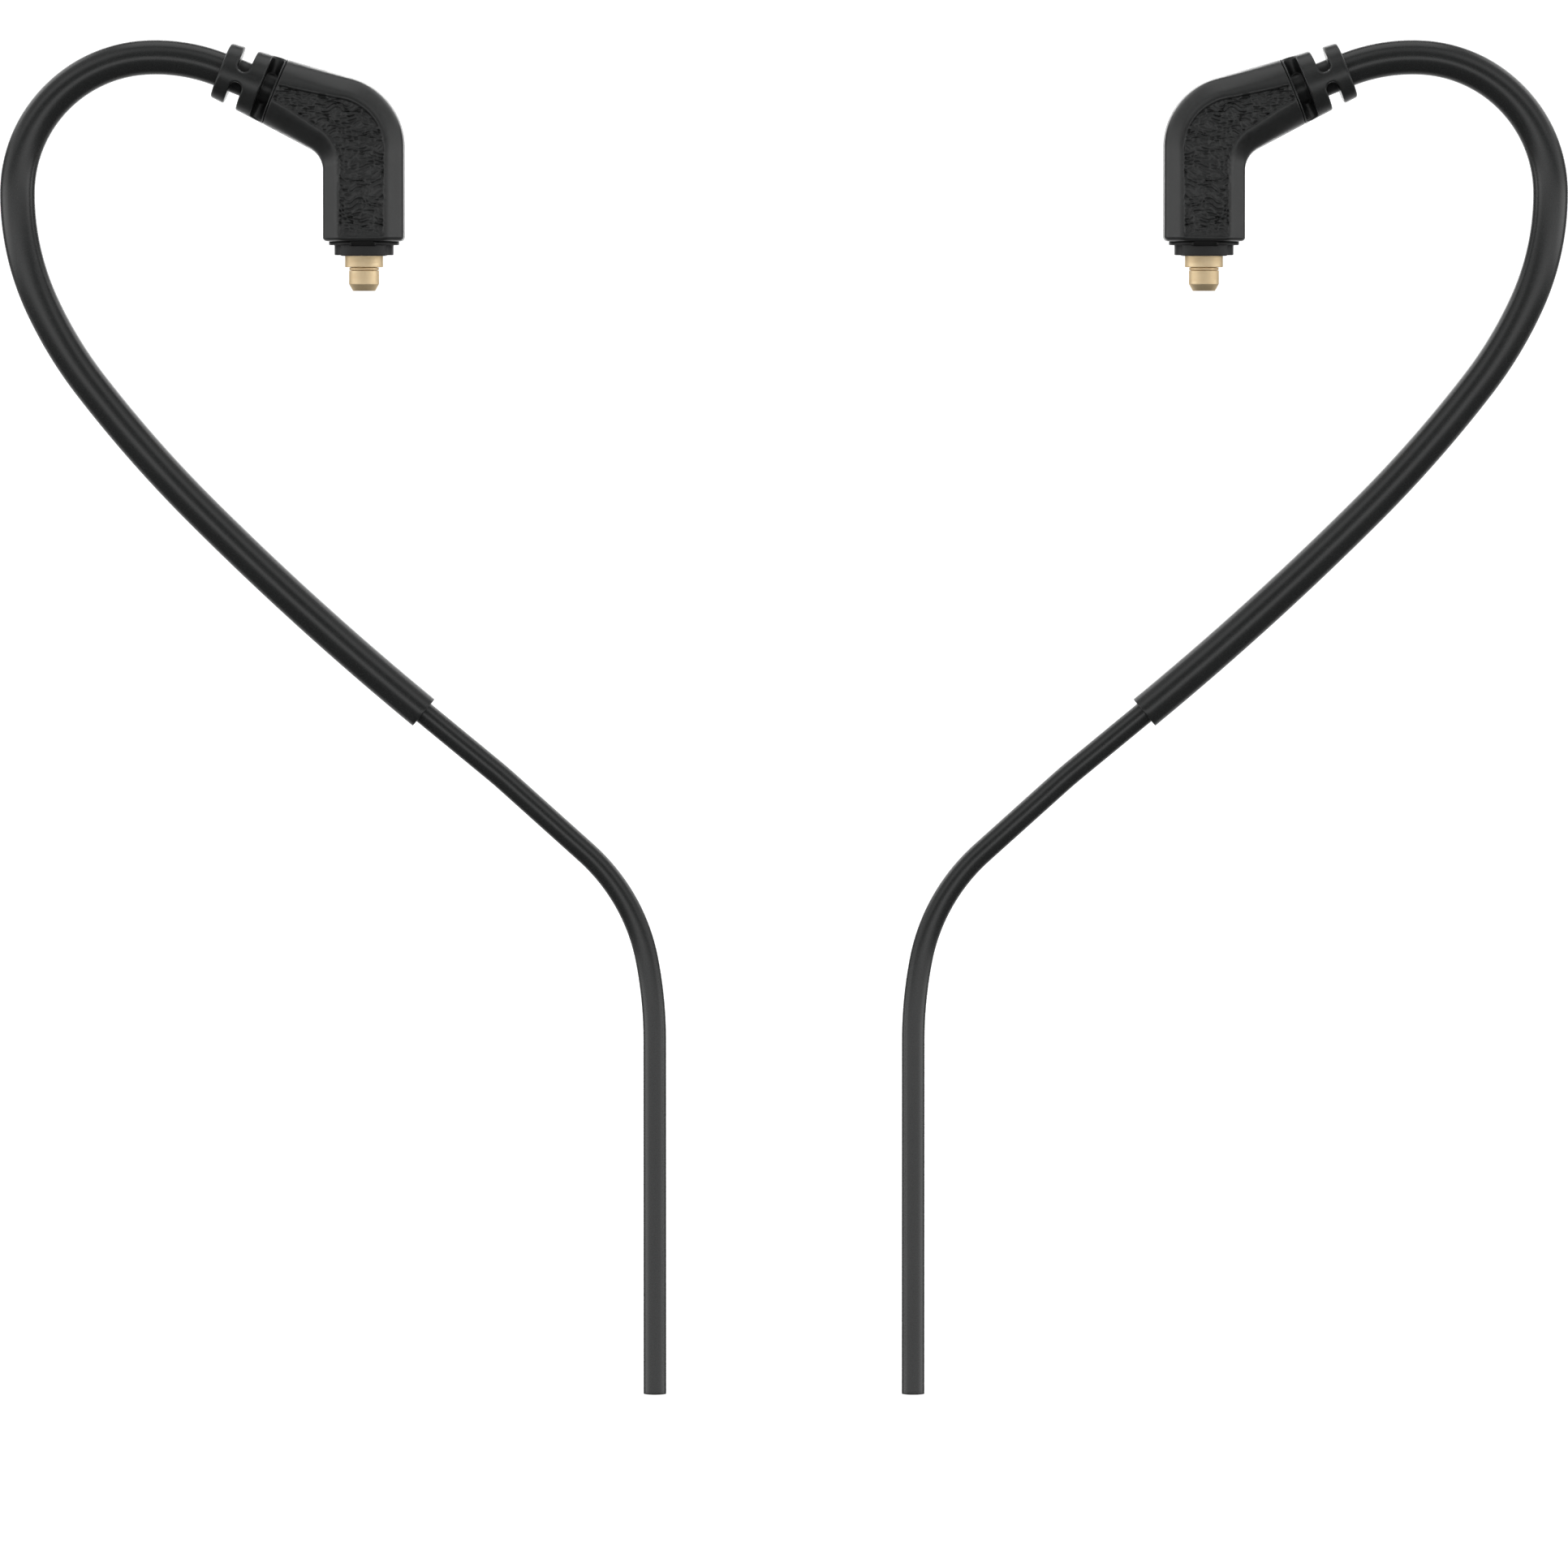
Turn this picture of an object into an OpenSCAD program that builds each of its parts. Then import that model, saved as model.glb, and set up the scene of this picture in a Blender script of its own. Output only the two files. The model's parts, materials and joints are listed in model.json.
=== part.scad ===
// Pair of detachable ear-hook cable arms for in-ear monitors, each with an angled snap-in
// coaxial plug. Millimetres, +Z up, front towards -Y. The origin lies midway between the cut
// ends of the two cables. The left arm is modelled, and the right arm is its mirror image.

/* [Cable] */
// Distance between the two cables where they hang straight
cable_gap = 20.7; // [14:0.1:30]
// Outer diameter of the cable jacket
cable_d = 1.85; // [1.6:0.05:2]
// Bore of the cable jacket
jacket_bore_d = 1.24; // [1.2:0.02:1.3]
// Diameter of one lacquered litz wire bundle
wire_d = 0.54; // [0.4:0.02:0.56]
// Diameter of one aramid strength yarn
yarn_d = 0.3; // [0.2:0.02:0.32]
// Straight hanging stretch above the cut end
tail_len = 28.4; // [26:0.1:60]
// Radius of the gentle lead-in bend above the straight stretch
lead_bend_r = 34; // [25:0.5:50]
// Turn of the lead-in bend in degrees
lead_bend = 11; // [5:0.5:15]
// Radius of the main bend
main_bend_r = 15.5; // [12:0.5:20]
// Turn of the main bend in degrees
main_bend = 37; // [30:0.5:40]
// Straight stretch above the main bend
slant_len = 8.4; // [5:0.1:12]
// Radius of the slight bend below the ear hook
slight_bend_r = 36; // [25:0.5:50]
// Turn of the slight bend in degrees
slight_bend = 2.5; // [1:0.5:5]
// Straight stretch from the slight bend to the sway joint
lower_len = 5.7; // [3:0.1:10]
// Bare cable between the sway joint and the mouth of the ear-hook tube
mouth_len = 1.5; // [1.2:0.1:3]

/* [Ear hook] */
// Outer diameter of the ear-hook tube
hook_d = 2.8; // [2.6:0.05:3.2]
// Bore of the ear-hook tube
hook_bore_d = 1.9; // [1.88:0.02:2.1]
// Radii of the lower curve, from the mouth up to the outermost point
hook_lower_r = [250, 103, 33, 21]; // [15:0.5:300]
// Turns of the lower curve in degrees
hook_lower_turn = [5.5, 7.5, 13, 25]; // [3:0.5:30]
// Radius over the top of the ear
crown_r = 10.85; // [9:0.05:14]
// Turn over the top of the ear in degrees
crown_turn = 86; // [80:0.5:95]
// Radius of the last bend into the strain relief
front_r = 14.2; // [12:0.1:20]

/* [Strain relief] */
// Tilt of the arm below the horizontal in degrees
arm_tilt = 22; // [15:0.5:30]
// Radius of the relief at its outer face
relief_tip_r = 2.33; // [2.2:0.01:2.5]
// Growth of the relief's radius per millimetre of length
relief_slope = 0.096; // [0.08:0.002:0.12]
// Thickness of the outer ring behind the end of the last bend
tip_ring_t = 1.07; // [0.8:0.01:1.2]
// How far the outer ring reaches over the last bend
tip_ring_lead = 0.12; // [0:0.01:0.15]
// Width of the round-bottomed side notches behind the outer ring
notch_w = 1.04; // [0.9:0.01:1.1]
// Distance from the outer face to the start of the second ring's rear slots
ring_end = 3.4; // [3.3:0.05:3.5]
// Width of the round-bottomed front and rear slots
slot_w = 1; // [0.9:0.01:1.05]
// Length of the whole relief outside the housing
relief_len = 4.55; // [4.5:0.05:4.7]

/* [Plug housing] */
// Distance from the relief's outer face to the plug axis, along the arm
arm_len = 12.17; // [12:0.01:13]
// Distance from that crossing point down to the housing's lower face
plug_drop = 9.09; // [8.5:0.01:10]
// Half width of the lower column
column_half_w = 3.23; // [3.1:0.01:3.4]
// Radius of the housing at the relief
arm_end_r = 2.76; // [2.7:0.01:2.85]
// Angle between each side of the arm and its axis in degrees
arm_flare = 6; // [5:0.1:6.5]
// Radius of the outer elbow
elbow_outer_r = 5.65; // [5:0.05:6]
// Radius of the inner elbow
elbow_inner_r = 2; // [1.5:0.05:2.2]
// Chamfer along the long edges of the column
chamfer = 1.35; // [1:0.05:1.5]
// Bevel around the lower face
foot_bevel = 0.22; // [0.1:0.01:0.3]
// Radius of the bore that holds the inner mould
column_bore_r = 2.25; // [2.2:0.01:2.3]
// Radius of the bore through the arm
arm_bore_r = 1.9; // [1.88:0.01:1.95]

/* [Plug] */
// Radius of the contact barrel
barrel_r = 1.2; // [1.19:0.005:1.21]
// Straight length of the barrel below its flange
barrel_len = 1.34; // [1.3:0.01:1.5]
// Length of the chamfered nose
nose_len = 0.55; // [0.4:0.01:0.6]
// Radius of the nose at its end
nose_r = 0.89; // [0.88:0.01:1]
// Radius of the flange above the barrel
flange_r = 1.52; // [1.4:0.01:1.6]
// Thickness of the flange above the barrel
flange_t = 0.96; // [0.8:0.01:1]
// Radius of the round plate under the housing
plate_r = 2.8; // [2.6:0.05:2.9]
// Thickness of the round plate
plate_t = 0.3; // [0.2:0.01:0.35]
// Radius of the collar
collar_r = 2.36; // [2.2:0.01:2.4]
// Thickness of the collar
collar_t = 0.8; // [0.7:0.01:0.9]
// Width of the raised keys on the collar's front and rear
key_w = 3.57; // [3:0.01:3.8]
// Width of the tabs that carry the plate out to the housing's front and rear faces
tab_w = 1.9; // [1.5:0.05:2.5]
// Reach of those tabs from the plug axis
tab_reach = 3.05; // [2.9:0.01:3.1]
// Radius of the centre pin
pin_r = 0.2; // [0.18:0.01:0.22]

/* [Fits] */
// Play around each ball and knuckle that stands for a flexing place
play = 0.05; // [0.04:0.01:0.06]
// Gap between parts that are bonded to each other
bond_gap = 0.02; // [0.01:0.01:0.03]

/* [Hidden] */
$fn = 64;

jacket_colour = [0.17, 0.18, 0.18];
hook_colour = [0.16, 0.17, 0.17];
relief_colour = [0.15, 0.16, 0.16];
shell_colour = [0.2, 0.21, 0.21];
collar_colour = [0.13, 0.13, 0.13];
gold_colour = [0.87, 0.75, 0.52];
copper_colour = [0.72, 0.42, 0.25];
yarn_colour = [0.85, 0.75, 0.35];
mould_colour = [0.82, 0.82, 0.78];
ptfe_colour = [0.93, 0.93, 0.9];
solder_colour = [0.75, 0.76, 0.78];

jacket_r = cable_d / 2;
jacket_bore_r = jacket_bore_d / 2;
hook_r = hook_d / 2;
hook_bore_r = hook_bore_d / 2;
wire_r = wire_d / 2;
yarn_r = yarn_d / 2;
wire_off = wire_r + bond_gap * 2;
yarn_off = jacket_bore_r - yarn_r - bond_gap * 2;
ball_inset = 0.03;
// A seam between two steps is a fine groove, bridged by a short joiner in the wall's thickness
seam_mark = 0.02;
joiner_len = 0.2;
joiner_inset = 0.04;
joiner_share = 0.45;
SECTION_FN = 32;
BEND_FN = 360;
WIDE_BEND_FN = 1440;
WIDE_BEND_R = 60;
jacket_stop_r = jacket_r + 0.2;
hook_stop_r = hook_r + 0.6;

// The centreline runs from the cut end to the relief in steps of [length, 0] for a straight
// stretch and [radius, turn] for a bend, with a left-hand turn positive.
slope_up = 90 + lead_bend + main_bend + slight_bend;
front_turn = slope_up + arm_tilt - crown_turn
  - hook_lower_turn[0] - hook_lower_turn[1] - hook_lower_turn[2] - hook_lower_turn[3];
notch_s = tip_ring_t + notch_w / 2;
slot_s = ring_end + slot_w / 2;
PATH = [
  [tail_len, 0],
  [lead_bend_r, lead_bend],
  [main_bend_r, main_bend],
  [slant_len, 0],
  [slight_bend_r, slight_bend],
  [lower_len, 0],
  [mouth_len, 0],
  [hook_lower_r[0], -hook_lower_turn[0]],
  [hook_lower_r[1], -hook_lower_turn[1]],
  [hook_lower_r[2], -hook_lower_turn[2]],
  [hook_lower_r[3], -hook_lower_turn[3]],
  [crown_r, -crown_turn],
  [front_r, -front_turn],
  [notch_s, 0],
];
// Step numbers at which each stretch starts
AT_SPREAD = 2;
AT_SWAY = 6;
AT_MOUTH = 7;
AT_HOOK = 11;
AT_RELIEF = 13;

function heading_dir(h) = [cos(h), sin(h)];
function left_of(h) = [-sin(h), cos(h)];
function step_end(p, h, step) =
  step[1] == 0
    ? p + step[0] * heading_dir(h)
    : p + sign(step[1]) * step[0] * (left_of(h) - left_of(h + step[1]));
// [point, heading] at the start of step i
function place(i) =
  i == 0
    ? [[-cable_gap / 2, 0], 90]
    : let (q = place(i - 1)) [step_end(q[0], q[1], PATH[i - 1]), q[1] + PATH[i - 1][1]];

relief_place = place(AT_RELIEF);
elbow = relief_place[0] + arm_len * heading_dir(-arm_tilt);
arm_dir = heading_dir(-arm_tilt);
arm_up = left_of(-arm_tilt);

// Turns the drawing plane upright: local x to X, local y to Z, local z to the front
module upright() {
  rotate([90, 0, 0]) children();
}

module right_side() {
  mirror([1, 0, 0]) children();
}

// Frame at the start of step i: local x along the centreline, local z to the front
module at_place(i) {
  q = place(i);
  translate([q[0][0], q[0][1], 0]) rotate([0, 0, q[1]]) children();
}

module along_x() {
  rotate([0, 90, 0]) children();
}

module round_section(r, bore_r) {
  difference() {
    circle(r = r, $fn = SECTION_FN);
    if (bore_r > 0) circle(r = bore_r, $fn = SECTION_FN);
  }
}

// One step of the centreline swept with a round section, shifted by off to the left and by
// front towards the front. Skip is left out at its start.
module step_sweep(i, r, bore_r, off, front, skip) {
  q = place(i);
  turn = PATH[i][1];
  size = PATH[i][0];
  if (turn == 0) {
    at_place(i) translate([skip, off, front]) along_x() linear_extrude(size - skip)
      round_section(r, bore_r);
  } else {
    skip_turn = skip / size * 180 / PI;
    centre = q[0] + sign(turn) * size * left_of(q[1]);
    start = turn > 0 ? q[1] - 90 + skip_turn : q[1] + 90 + turn;
    translate([centre[0], centre[1], 0])
      rotate([0, 0, start])
        rotate_extrude(angle = abs(turn) - skip_turn, $fn = size > WIDE_BEND_R ? WIDE_BEND_FN : BEND_FN)
          translate([size - sign(turn) * off, front]) round_section(r, bore_r);
  }
}

// A rod or tube along steps first to last, kept in one piece by a joiner at each seam
module run(first, last, r, bore_r = 0, off = 0, front = 0) {
  joiner_r = bore_r > 0 ? bore_r + (r - bore_r) * joiner_share : r - joiner_inset;
  for (i = [first : last])
    step_sweep(i, r, bore_r, off, front, i > first ? seam_mark : 0);
  for (i = [first + 1 : 1 : last])
    at_place(i) translate([-joiner_len / 2, off, front]) along_x()
      linear_extrude(joiner_len)
        round_section(joiner_r, bore_r > 0 ? bore_r + joiner_inset : 0);
}

module ball(i, r) {
  at_place(i) along_x() sphere(r = r);
}

module wire_pair(first, last) {
  run(first, last, wire_r, 0, 0, wire_off);
  run(first, last, wire_r, 0, 0, -wire_off);
}

module yarn_pair(first, last) {
  run(first, last, yarn_r, 0, yarn_off, 0);
  run(first, last, yarn_r, 0, -yarn_off, 0);
}

module cable_tail_jacket() {
  color(jacket_colour) upright() difference() {
    run(0, AT_SPREAD - 1, jacket_r, jacket_bore_r);
    ball(AT_SPREAD, jacket_r + play);
  }
}

module cable_tail_wires() {
  color(copper_colour) upright() difference() {
    wire_pair(0, AT_SPREAD - 1);
    ball(AT_SPREAD, jacket_stop_r);
  }
}

module cable_tail_yarns() {
  color(yarn_colour) upright() difference() {
    yarn_pair(0, AT_SPREAD - 1);
    ball(AT_SPREAD, jacket_stop_r);
  }
}

module cable_jacket() {
  color(jacket_colour) upright() difference() {
    union() {
      run(AT_SPREAD, AT_SWAY - 1, jacket_r, jacket_bore_r);
      ball(AT_SPREAD, jacket_r - ball_inset);
    }
    ball(AT_SWAY, jacket_r + play);
  }
}

module cable_wires() {
  color(copper_colour) upright() difference() {
    wire_pair(AT_SPREAD, AT_SWAY - 1);
    ball(AT_SPREAD, jacket_stop_r);
    ball(AT_SWAY, jacket_stop_r);
  }
}

module cable_yarns() {
  color(yarn_colour) upright() difference() {
    yarn_pair(AT_SPREAD, AT_SWAY - 1);
    ball(AT_SPREAD, jacket_stop_r);
    ball(AT_SWAY, jacket_stop_r);
  }
}

module hook_tube_lower() {
  color(hook_colour) upright() difference() {
    run(AT_MOUTH, AT_HOOK - 1, hook_r, hook_bore_r);
    ball(AT_HOOK, hook_r + play);
  }
}

module hook_lower_jacket() {
  color(jacket_colour) upright() difference() {
    union() {
      run(AT_SWAY, AT_HOOK - 1, jacket_r, jacket_bore_r);
      ball(AT_SWAY, jacket_r - ball_inset);
    }
    ball(AT_HOOK, hook_stop_r);
  }
}

module hook_lower_wires() {
  color(copper_colour) upright() difference() {
    wire_pair(AT_SWAY, AT_HOOK - 1);
    ball(AT_SWAY, jacket_stop_r);
    ball(AT_HOOK, hook_stop_r);
  }
}

module hook_lower_yarns() {
  color(yarn_colour) upright() difference() {
    yarn_pair(AT_SWAY, AT_HOOK - 1);
    ball(AT_SWAY, jacket_stop_r);
    ball(AT_HOOK, hook_stop_r);
  }
}

module hook_tube_upper() {
  color(hook_colour) upright() union() {
    run(AT_HOOK, AT_RELIEF, hook_r, hook_bore_r);
    ball(AT_HOOK, hook_r - ball_inset);
    ball(AT_RELIEF + 1, hook_r - ball_inset);
  }
}

module hook_upper_jacket() {
  color(jacket_colour) upright() difference() {
    run(AT_HOOK, AT_RELIEF, jacket_r, jacket_bore_r);
    ball(AT_HOOK, hook_stop_r);
    ball(AT_RELIEF + 1, hook_stop_r);
  }
}

module hook_upper_wires() {
  color(copper_colour) upright() difference() {
    wire_pair(AT_HOOK, AT_RELIEF);
    ball(AT_HOOK, hook_stop_r);
    ball(AT_RELIEF + 1, hook_stop_r);
  }
}

module hook_upper_yarns() {
  color(yarn_colour) upright() difference() {
    yarn_pair(AT_HOOK, AT_RELIEF);
    ball(AT_HOOK, hook_stop_r);
    ball(AT_RELIEF + 1, hook_stop_r);
  }
}

// The strain relief, drawn with local x along the arm from its outer face
relief_inner_r = 1.3;
knuckle_gap_r = hook_r + 0.07;
notch_web = 0.46;
slot_web = 0.6;
knuckle_gap = 0.02;
notch_knuckle_r = notch_web - knuckle_gap;
slot_knuckle_r = slot_web - knuckle_gap;
base_neck_r = arm_bore_r - bond_gap;
base_flange_r = 2.2;
base_flange_s = 5.4;
base_flange_t = 0.8;
base_end_s = 6.6;
wire_hole_s = 5.45;
// Half length of a cut or knuckle that passes right through the relief
through = 4;
// Length by which a cutting solid passes the face it opens
over = 0.1;
// Reach of a knuckle's web on each side of its pivot
web_back = 0.3;
web_ahead = 0.6;
slot_depth = 2.5;
trim = 0.01;

function relief_r(s) = relief_tip_r + relief_slope * s;

module cone_shell(s0, s1, bore_r) {
  translate([s0, 0, 0]) along_x() difference() {
    cylinder(r1 = relief_r(s0), r2 = relief_r(s1), h = s1 - s0);
    translate([0, 0, -over]) cylinder(r = bore_r, h = s1 - s0 + 2 * over);
  }
}

// A pair of round-bottomed cuts across the relief, leaving a web on each side of its axis
module round_slots(s, width, web) {
  for (side = [-1, 1]) {
    translate([s, side * (web + width / 2), -through]) cylinder(r = width / 2, h = 2 * through);
    translate([s - width / 2 + trim, side * (web + width / 2 + slot_depth) - slot_depth, -through])
      cube([width - 2 * trim, 2 * slot_depth, 2 * through]);
  }
}

module notch_cut() {
  round_slots(notch_s, notch_w, notch_web);
}

module slot_cut() {
  rotate([90, 0, 0]) round_slots(slot_s, slot_w, slot_web);
}

module knuckle(s, r) {
  translate([s, 0, -through]) cylinder(r = r, h = 2 * through);
}

module relief_tip_ring() {
  color(relief_colour) upright() at_place(AT_RELIEF) union() {
    difference() {
      cone_shell(-tip_ring_lead, notch_s, hook_r + bond_gap);
      notch_cut();
    }
    intersection() {
      cone_shell(notch_s - web_back, notch_s + web_ahead, knuckle_gap_r);
      knuckle(notch_s, notch_knuckle_r);
    }
  }
}

module relief_middle_ring() {
  color(relief_colour) upright() at_place(AT_RELIEF) difference() {
    union() {
      difference() {
        cone_shell(notch_s, slot_s, relief_inner_r);
        notch_cut();
        slot_cut();
        knuckle(notch_s, notch_knuckle_r + play);
      }
      translate([notch_s, 0, 0]) along_x() cylinder(r = hook_r, h = slot_s - notch_s);
      intersection() {
        cone_shell(slot_s - web_back, slot_s + web_ahead, knuckle_gap_r);
        rotate([90, 0, 0]) knuckle(slot_s, slot_knuckle_r);
      }
      translate([slot_s, 0, 0]) along_x() sphere(r = hook_r - ball_inset);
    }
    translate([notch_s, 0, 0]) along_x() sphere(r = hook_r + play);
  }
}

module relief_base() {
  color(relief_colour) upright() at_place(AT_RELIEF) difference() {
    union() {
      difference() {
        cone_shell(slot_s, relief_len, relief_inner_r);
        slot_cut();
        rotate([90, 0, 0]) knuckle(slot_s, slot_knuckle_r + play);
      }
      translate([slot_s, 0, 0]) along_x() cylinder(r = hook_r, h = base_end_s - slot_s);
      translate([relief_len - over, 0, 0]) along_x()
        cylinder(r = base_neck_r, h = base_flange_s - relief_len + 2 * over);
      translate([base_flange_s, 0, 0]) along_x() cylinder(r = base_flange_r, h = base_flange_t);
    }
    translate([slot_s, 0, 0]) along_x() sphere(r = hook_r + play);
    for (side = [-1, 1])
      translate([wire_hole_s, 0, side * wire_off]) along_x()
        cylinder(r = wire_r + bond_gap, h = base_end_s - wire_hole_s + over);
  }
}

// The housing: sections that change from round at the relief to a bevelled square at the
// plug. Each section stands on the line from its inner edge point to its outer edge point.
SECTION_POINTS = 24;
ARM_STATIONS = 4;
ELBOW_STATIONS = 8;
function line_point(start, h, x) = start + [x - start[0], (x - start[0]) * tan(h)];

arm_start = -(arm_len - relief_len) * arm_dir;
outer_start = arm_start + arm_end_r * arm_up;
inner_start = arm_start - arm_end_r * arm_up;
outer_h = -arm_tilt + arm_flare;
inner_h = -arm_tilt - arm_flare;
outer_corner = line_point(outer_start, outer_h, column_half_w);
inner_corner = line_point(inner_start, inner_h, -column_half_w);
outer_t = elbow_outer_r * tan((90 + outer_h) / 2);
inner_t = elbow_inner_r * tan((90 + inner_h) / 2);
outer_centre = [column_half_w - elbow_outer_r, outer_corner[1] - outer_t];
inner_centre = [-column_half_w - elbow_inner_r, inner_corner[1] - inner_t];

function outer_point(f) = outer_centre + elbow_outer_r * heading_dir((90 + outer_h) * (1 - f));
function inner_point(f) = inner_centre + elbow_inner_r * heading_dir((90 + inner_h) * (1 - f));
function mix(a, b, f) = a + (b - a) * f;

// The arm's share of the change from its round end to the square column
arm_growth = 0.8;
arm_square = 0.7;

// [outer point, inner point, half depth, squareness, inset]
STATIONS = concat(
  [for (k = [0 : ARM_STATIONS - 1]) let (f = k / ARM_STATIONS)
    [mix(outer_start, outer_point(0), f), mix(inner_start, inner_point(0), f),
     mix(arm_end_r, column_half_w, f * arm_growth), f * arm_square, 0]],
  [for (k = [0 : ELBOW_STATIONS]) let (f = k / ELBOW_STATIONS)
    [outer_point(f), inner_point(f), mix(arm_end_r, column_half_w, mix(arm_growth, 1, f)),
     mix(arm_square, 1, f), 0]],
  [[[column_half_w, foot_bevel - plug_drop], [-column_half_w, foot_bevel - plug_drop],
    column_half_w, 1, 0],
   [[column_half_w - foot_bevel, -plug_drop], [-column_half_w + foot_bevel, -plug_drop],
    column_half_w - foot_bevel, 1, 0]]
);

tiny = 0.001;
function bevelled_r(w, d, a) =
  min(w / max(abs(cos(a)), tiny), d / max(abs(sin(a)), tiny),
      (w + d - chamfer) / (abs(cos(a)) + abs(sin(a))));
function section_point(st, k) =
  let (
    a = 360 * k / SECTION_POINTS,
    w = norm(st[0] - st[1]) / 2,
    out = (st[0] - st[1]) / (2 * w),
    mid = (st[0] + st[1]) / 2,
    r = bevelled_r(w, st[2], a),
    u = mix(w * cos(a), r * cos(a), st[3]),
    v = mix(st[2] * sin(a), r * sin(a), st[3])
  ) [mid[0] + out[0] * u, mid[1] + out[1] * u, v];

module housing_body() {
  last = len(STATIONS) - 1;
  n = SECTION_POINTS;
  translate([elbow[0], elbow[1], 0]) polyhedron(
    points = [for (st = STATIONS) for (k = [0 : n - 1]) section_point(st, k)],
    faces = concat(
      [[for (k = [0 : n - 1]) n - 1 - k]],
      [for (i = [0 : last - 1]) for (k = [0 : n - 1])
        [i * n + k, i * n + (k + 1) % n, (i + 1) * n + (k + 1) % n, (i + 1) * n + k]],
      [[for (k = [0 : n - 1]) last * n + k]]
    ),
    convexity = 6
  );
}

elbow_room = 0.05;
split_box = 20;

// Frame of the plug: origin on the housing's lower face, local z up the plug axis
module at_plug() {
  translate([elbow[0], 0, elbow[1] - plug_drop]) children();
}

module housing_bore() {
  at_place(AT_RELIEF) {
    translate([relief_len - over, 0, 0]) along_x()
      cylinder(r = arm_bore_r, h = arm_len - relief_len);
    translate([base_flange_s - bond_gap, 0, 0]) along_x()
      cylinder(r = base_flange_r + bond_gap, h = base_flange_t + 2 * bond_gap);
  }
  translate([elbow[0], elbow[1], 0]) {
    rotate([90, 0, 0]) translate([0, 0, -over]) cylinder(r = column_bore_r, h = plug_drop + 2 * over);
    sphere(r = column_bore_r + elbow_room);
  }
}

module half_shell(front) {
  color(shell_colour) upright() intersection() {
    difference() {
      housing_body();
      housing_bore();
    }
    translate([elbow[0] - split_box, elbow[1] - split_box, front ? 0 : -2 * split_box])
      cube(2 * split_box);
  }
}

module front_shell() {
  half_shell(true);
}

module rear_shell() {
  half_shell(false);
}

// A round rod between two points
module rod(a, b, r) {
  v = b - a;
  translate(a) rotate([0, acos(v[2] / norm(v)), atan2(v[1], v[0])]) cylinder(r = r, h = norm(v));
}

// Levels along the plug axis, from the housing's lower face
collar_end = -plate_t - collar_t;
flange_end = collar_end - flange_t;
barrel_end = flange_end - barrel_len;
nose_end = barrel_end - nose_len;
tail_end = 1.6;
spigot_r = 2;
spigot_end = 1.2;
pin_end = 2.3;
pin_blob_z = 2.4;
ground_wire_z = 1.8;
ground_y = 1;
split_z = 4;
pin_wire_y = 0.1;
pin_wire_z = pin_blob_z + 0.15;
ground_wire_top = ground_wire_z + 0.1;
mould_start = 1.3;
barrel_bore_r = 0.84;
barrel_tail_r = 0.98;
groove_w = 0.26;
groove_r = 1.02;
ring_gap = 0.02;
ring_start = 110;
ring_turn = 320;
pin_dome_z = 0.35;
dielectric_inset = 0.2;
press_gap = 0.01;
key_drop = 0.06;
key_inset = 0.1;
elbow_ball = 0.02;
pocket_r = 1.45;
pocket_end = 3;
pin_blob_r = 0.38;
ground_blob_r = 0.36;
blob_shift = 0.05;

module plug_wires_at(grow) {
  crossing = [0, 0, plug_drop];
  back = [-arm_dir[0], 0, -arm_dir[1]] * (arm_len - relief_len - 1);
  for (side = [-1, 1]) {
    off = [0, side * wire_off, 0];
    rod(crossing + back + off, crossing + off, wire_r + grow);
    translate(crossing + off) sphere(r = wire_r + grow + elbow_ball);
    rod([0, side * wire_off, split_z], crossing + off, wire_r + grow);
    translate([0, side * wire_off, split_z]) sphere(r = wire_r + grow + elbow_ball);
  }
  rod([0, pin_wire_y, pin_wire_z], [0, wire_off, split_z], wire_r + grow);
  rod([0, -ground_y, ground_wire_top], [0, -wire_off, split_z], wire_r + grow);
}

module plug_wires() {
  color(copper_colour) at_plug() plug_wires_at(0);
}

module barrel_solid() {
  difference() {
    union() {
      translate([0, 0, collar_end]) cylinder(r = barrel_tail_r, h = tail_end - collar_end);
      translate([0, 0, flange_end]) cylinder(r = flange_r, h = flange_t);
      translate([0, 0, flange_end - groove_w - over])
        cylinder(r = groove_r, h = groove_w + 2 * over);
      translate([0, 0, barrel_end])
        cylinder(r = barrel_r, h = barrel_len - groove_w);
      translate([0, 0, nose_end]) cylinder(r1 = nose_r, r2 = barrel_r, h = nose_len);
    }
    translate([0, 0, nose_end - over]) cylinder(r = barrel_bore_r, h = tail_end - nose_end + 2 * over);
  }
}

module contact_barrel() {
  color(gold_colour) at_plug() barrel_solid();
}

module snap_ring() {
  color(gold_colour) at_plug()
    translate([0, 0, flange_end - groove_w + ring_gap])
      rotate([0, 0, ring_start])
        rotate_extrude(angle = ring_turn)
          translate([groove_r + ring_gap / 2, 0])
            square([barrel_r - groove_r - ring_gap * 1.5, groove_w - ring_gap * 2]);
}

module dielectric() {
  color(ptfe_colour) at_plug() difference() {
    translate([0, 0, barrel_end + dielectric_inset])
      cylinder(r = barrel_bore_r - press_gap, h = tail_end - barrel_end - dielectric_inset);
    translate([0, 0, barrel_end])
      cylinder(r = pin_r + press_gap, h = tail_end - barrel_end + over);
  }
}

module pin_solid() {
  translate([0, 0, nose_end + pin_dome_z]) cylinder(r = pin_r, h = pin_end - nose_end - pin_dome_z);
  translate([0, 0, nose_end + pin_dome_z]) sphere(r = pin_r - press_gap / 2);
}

module centre_pin() {
  color(gold_colour) at_plug() pin_solid();
}

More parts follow.
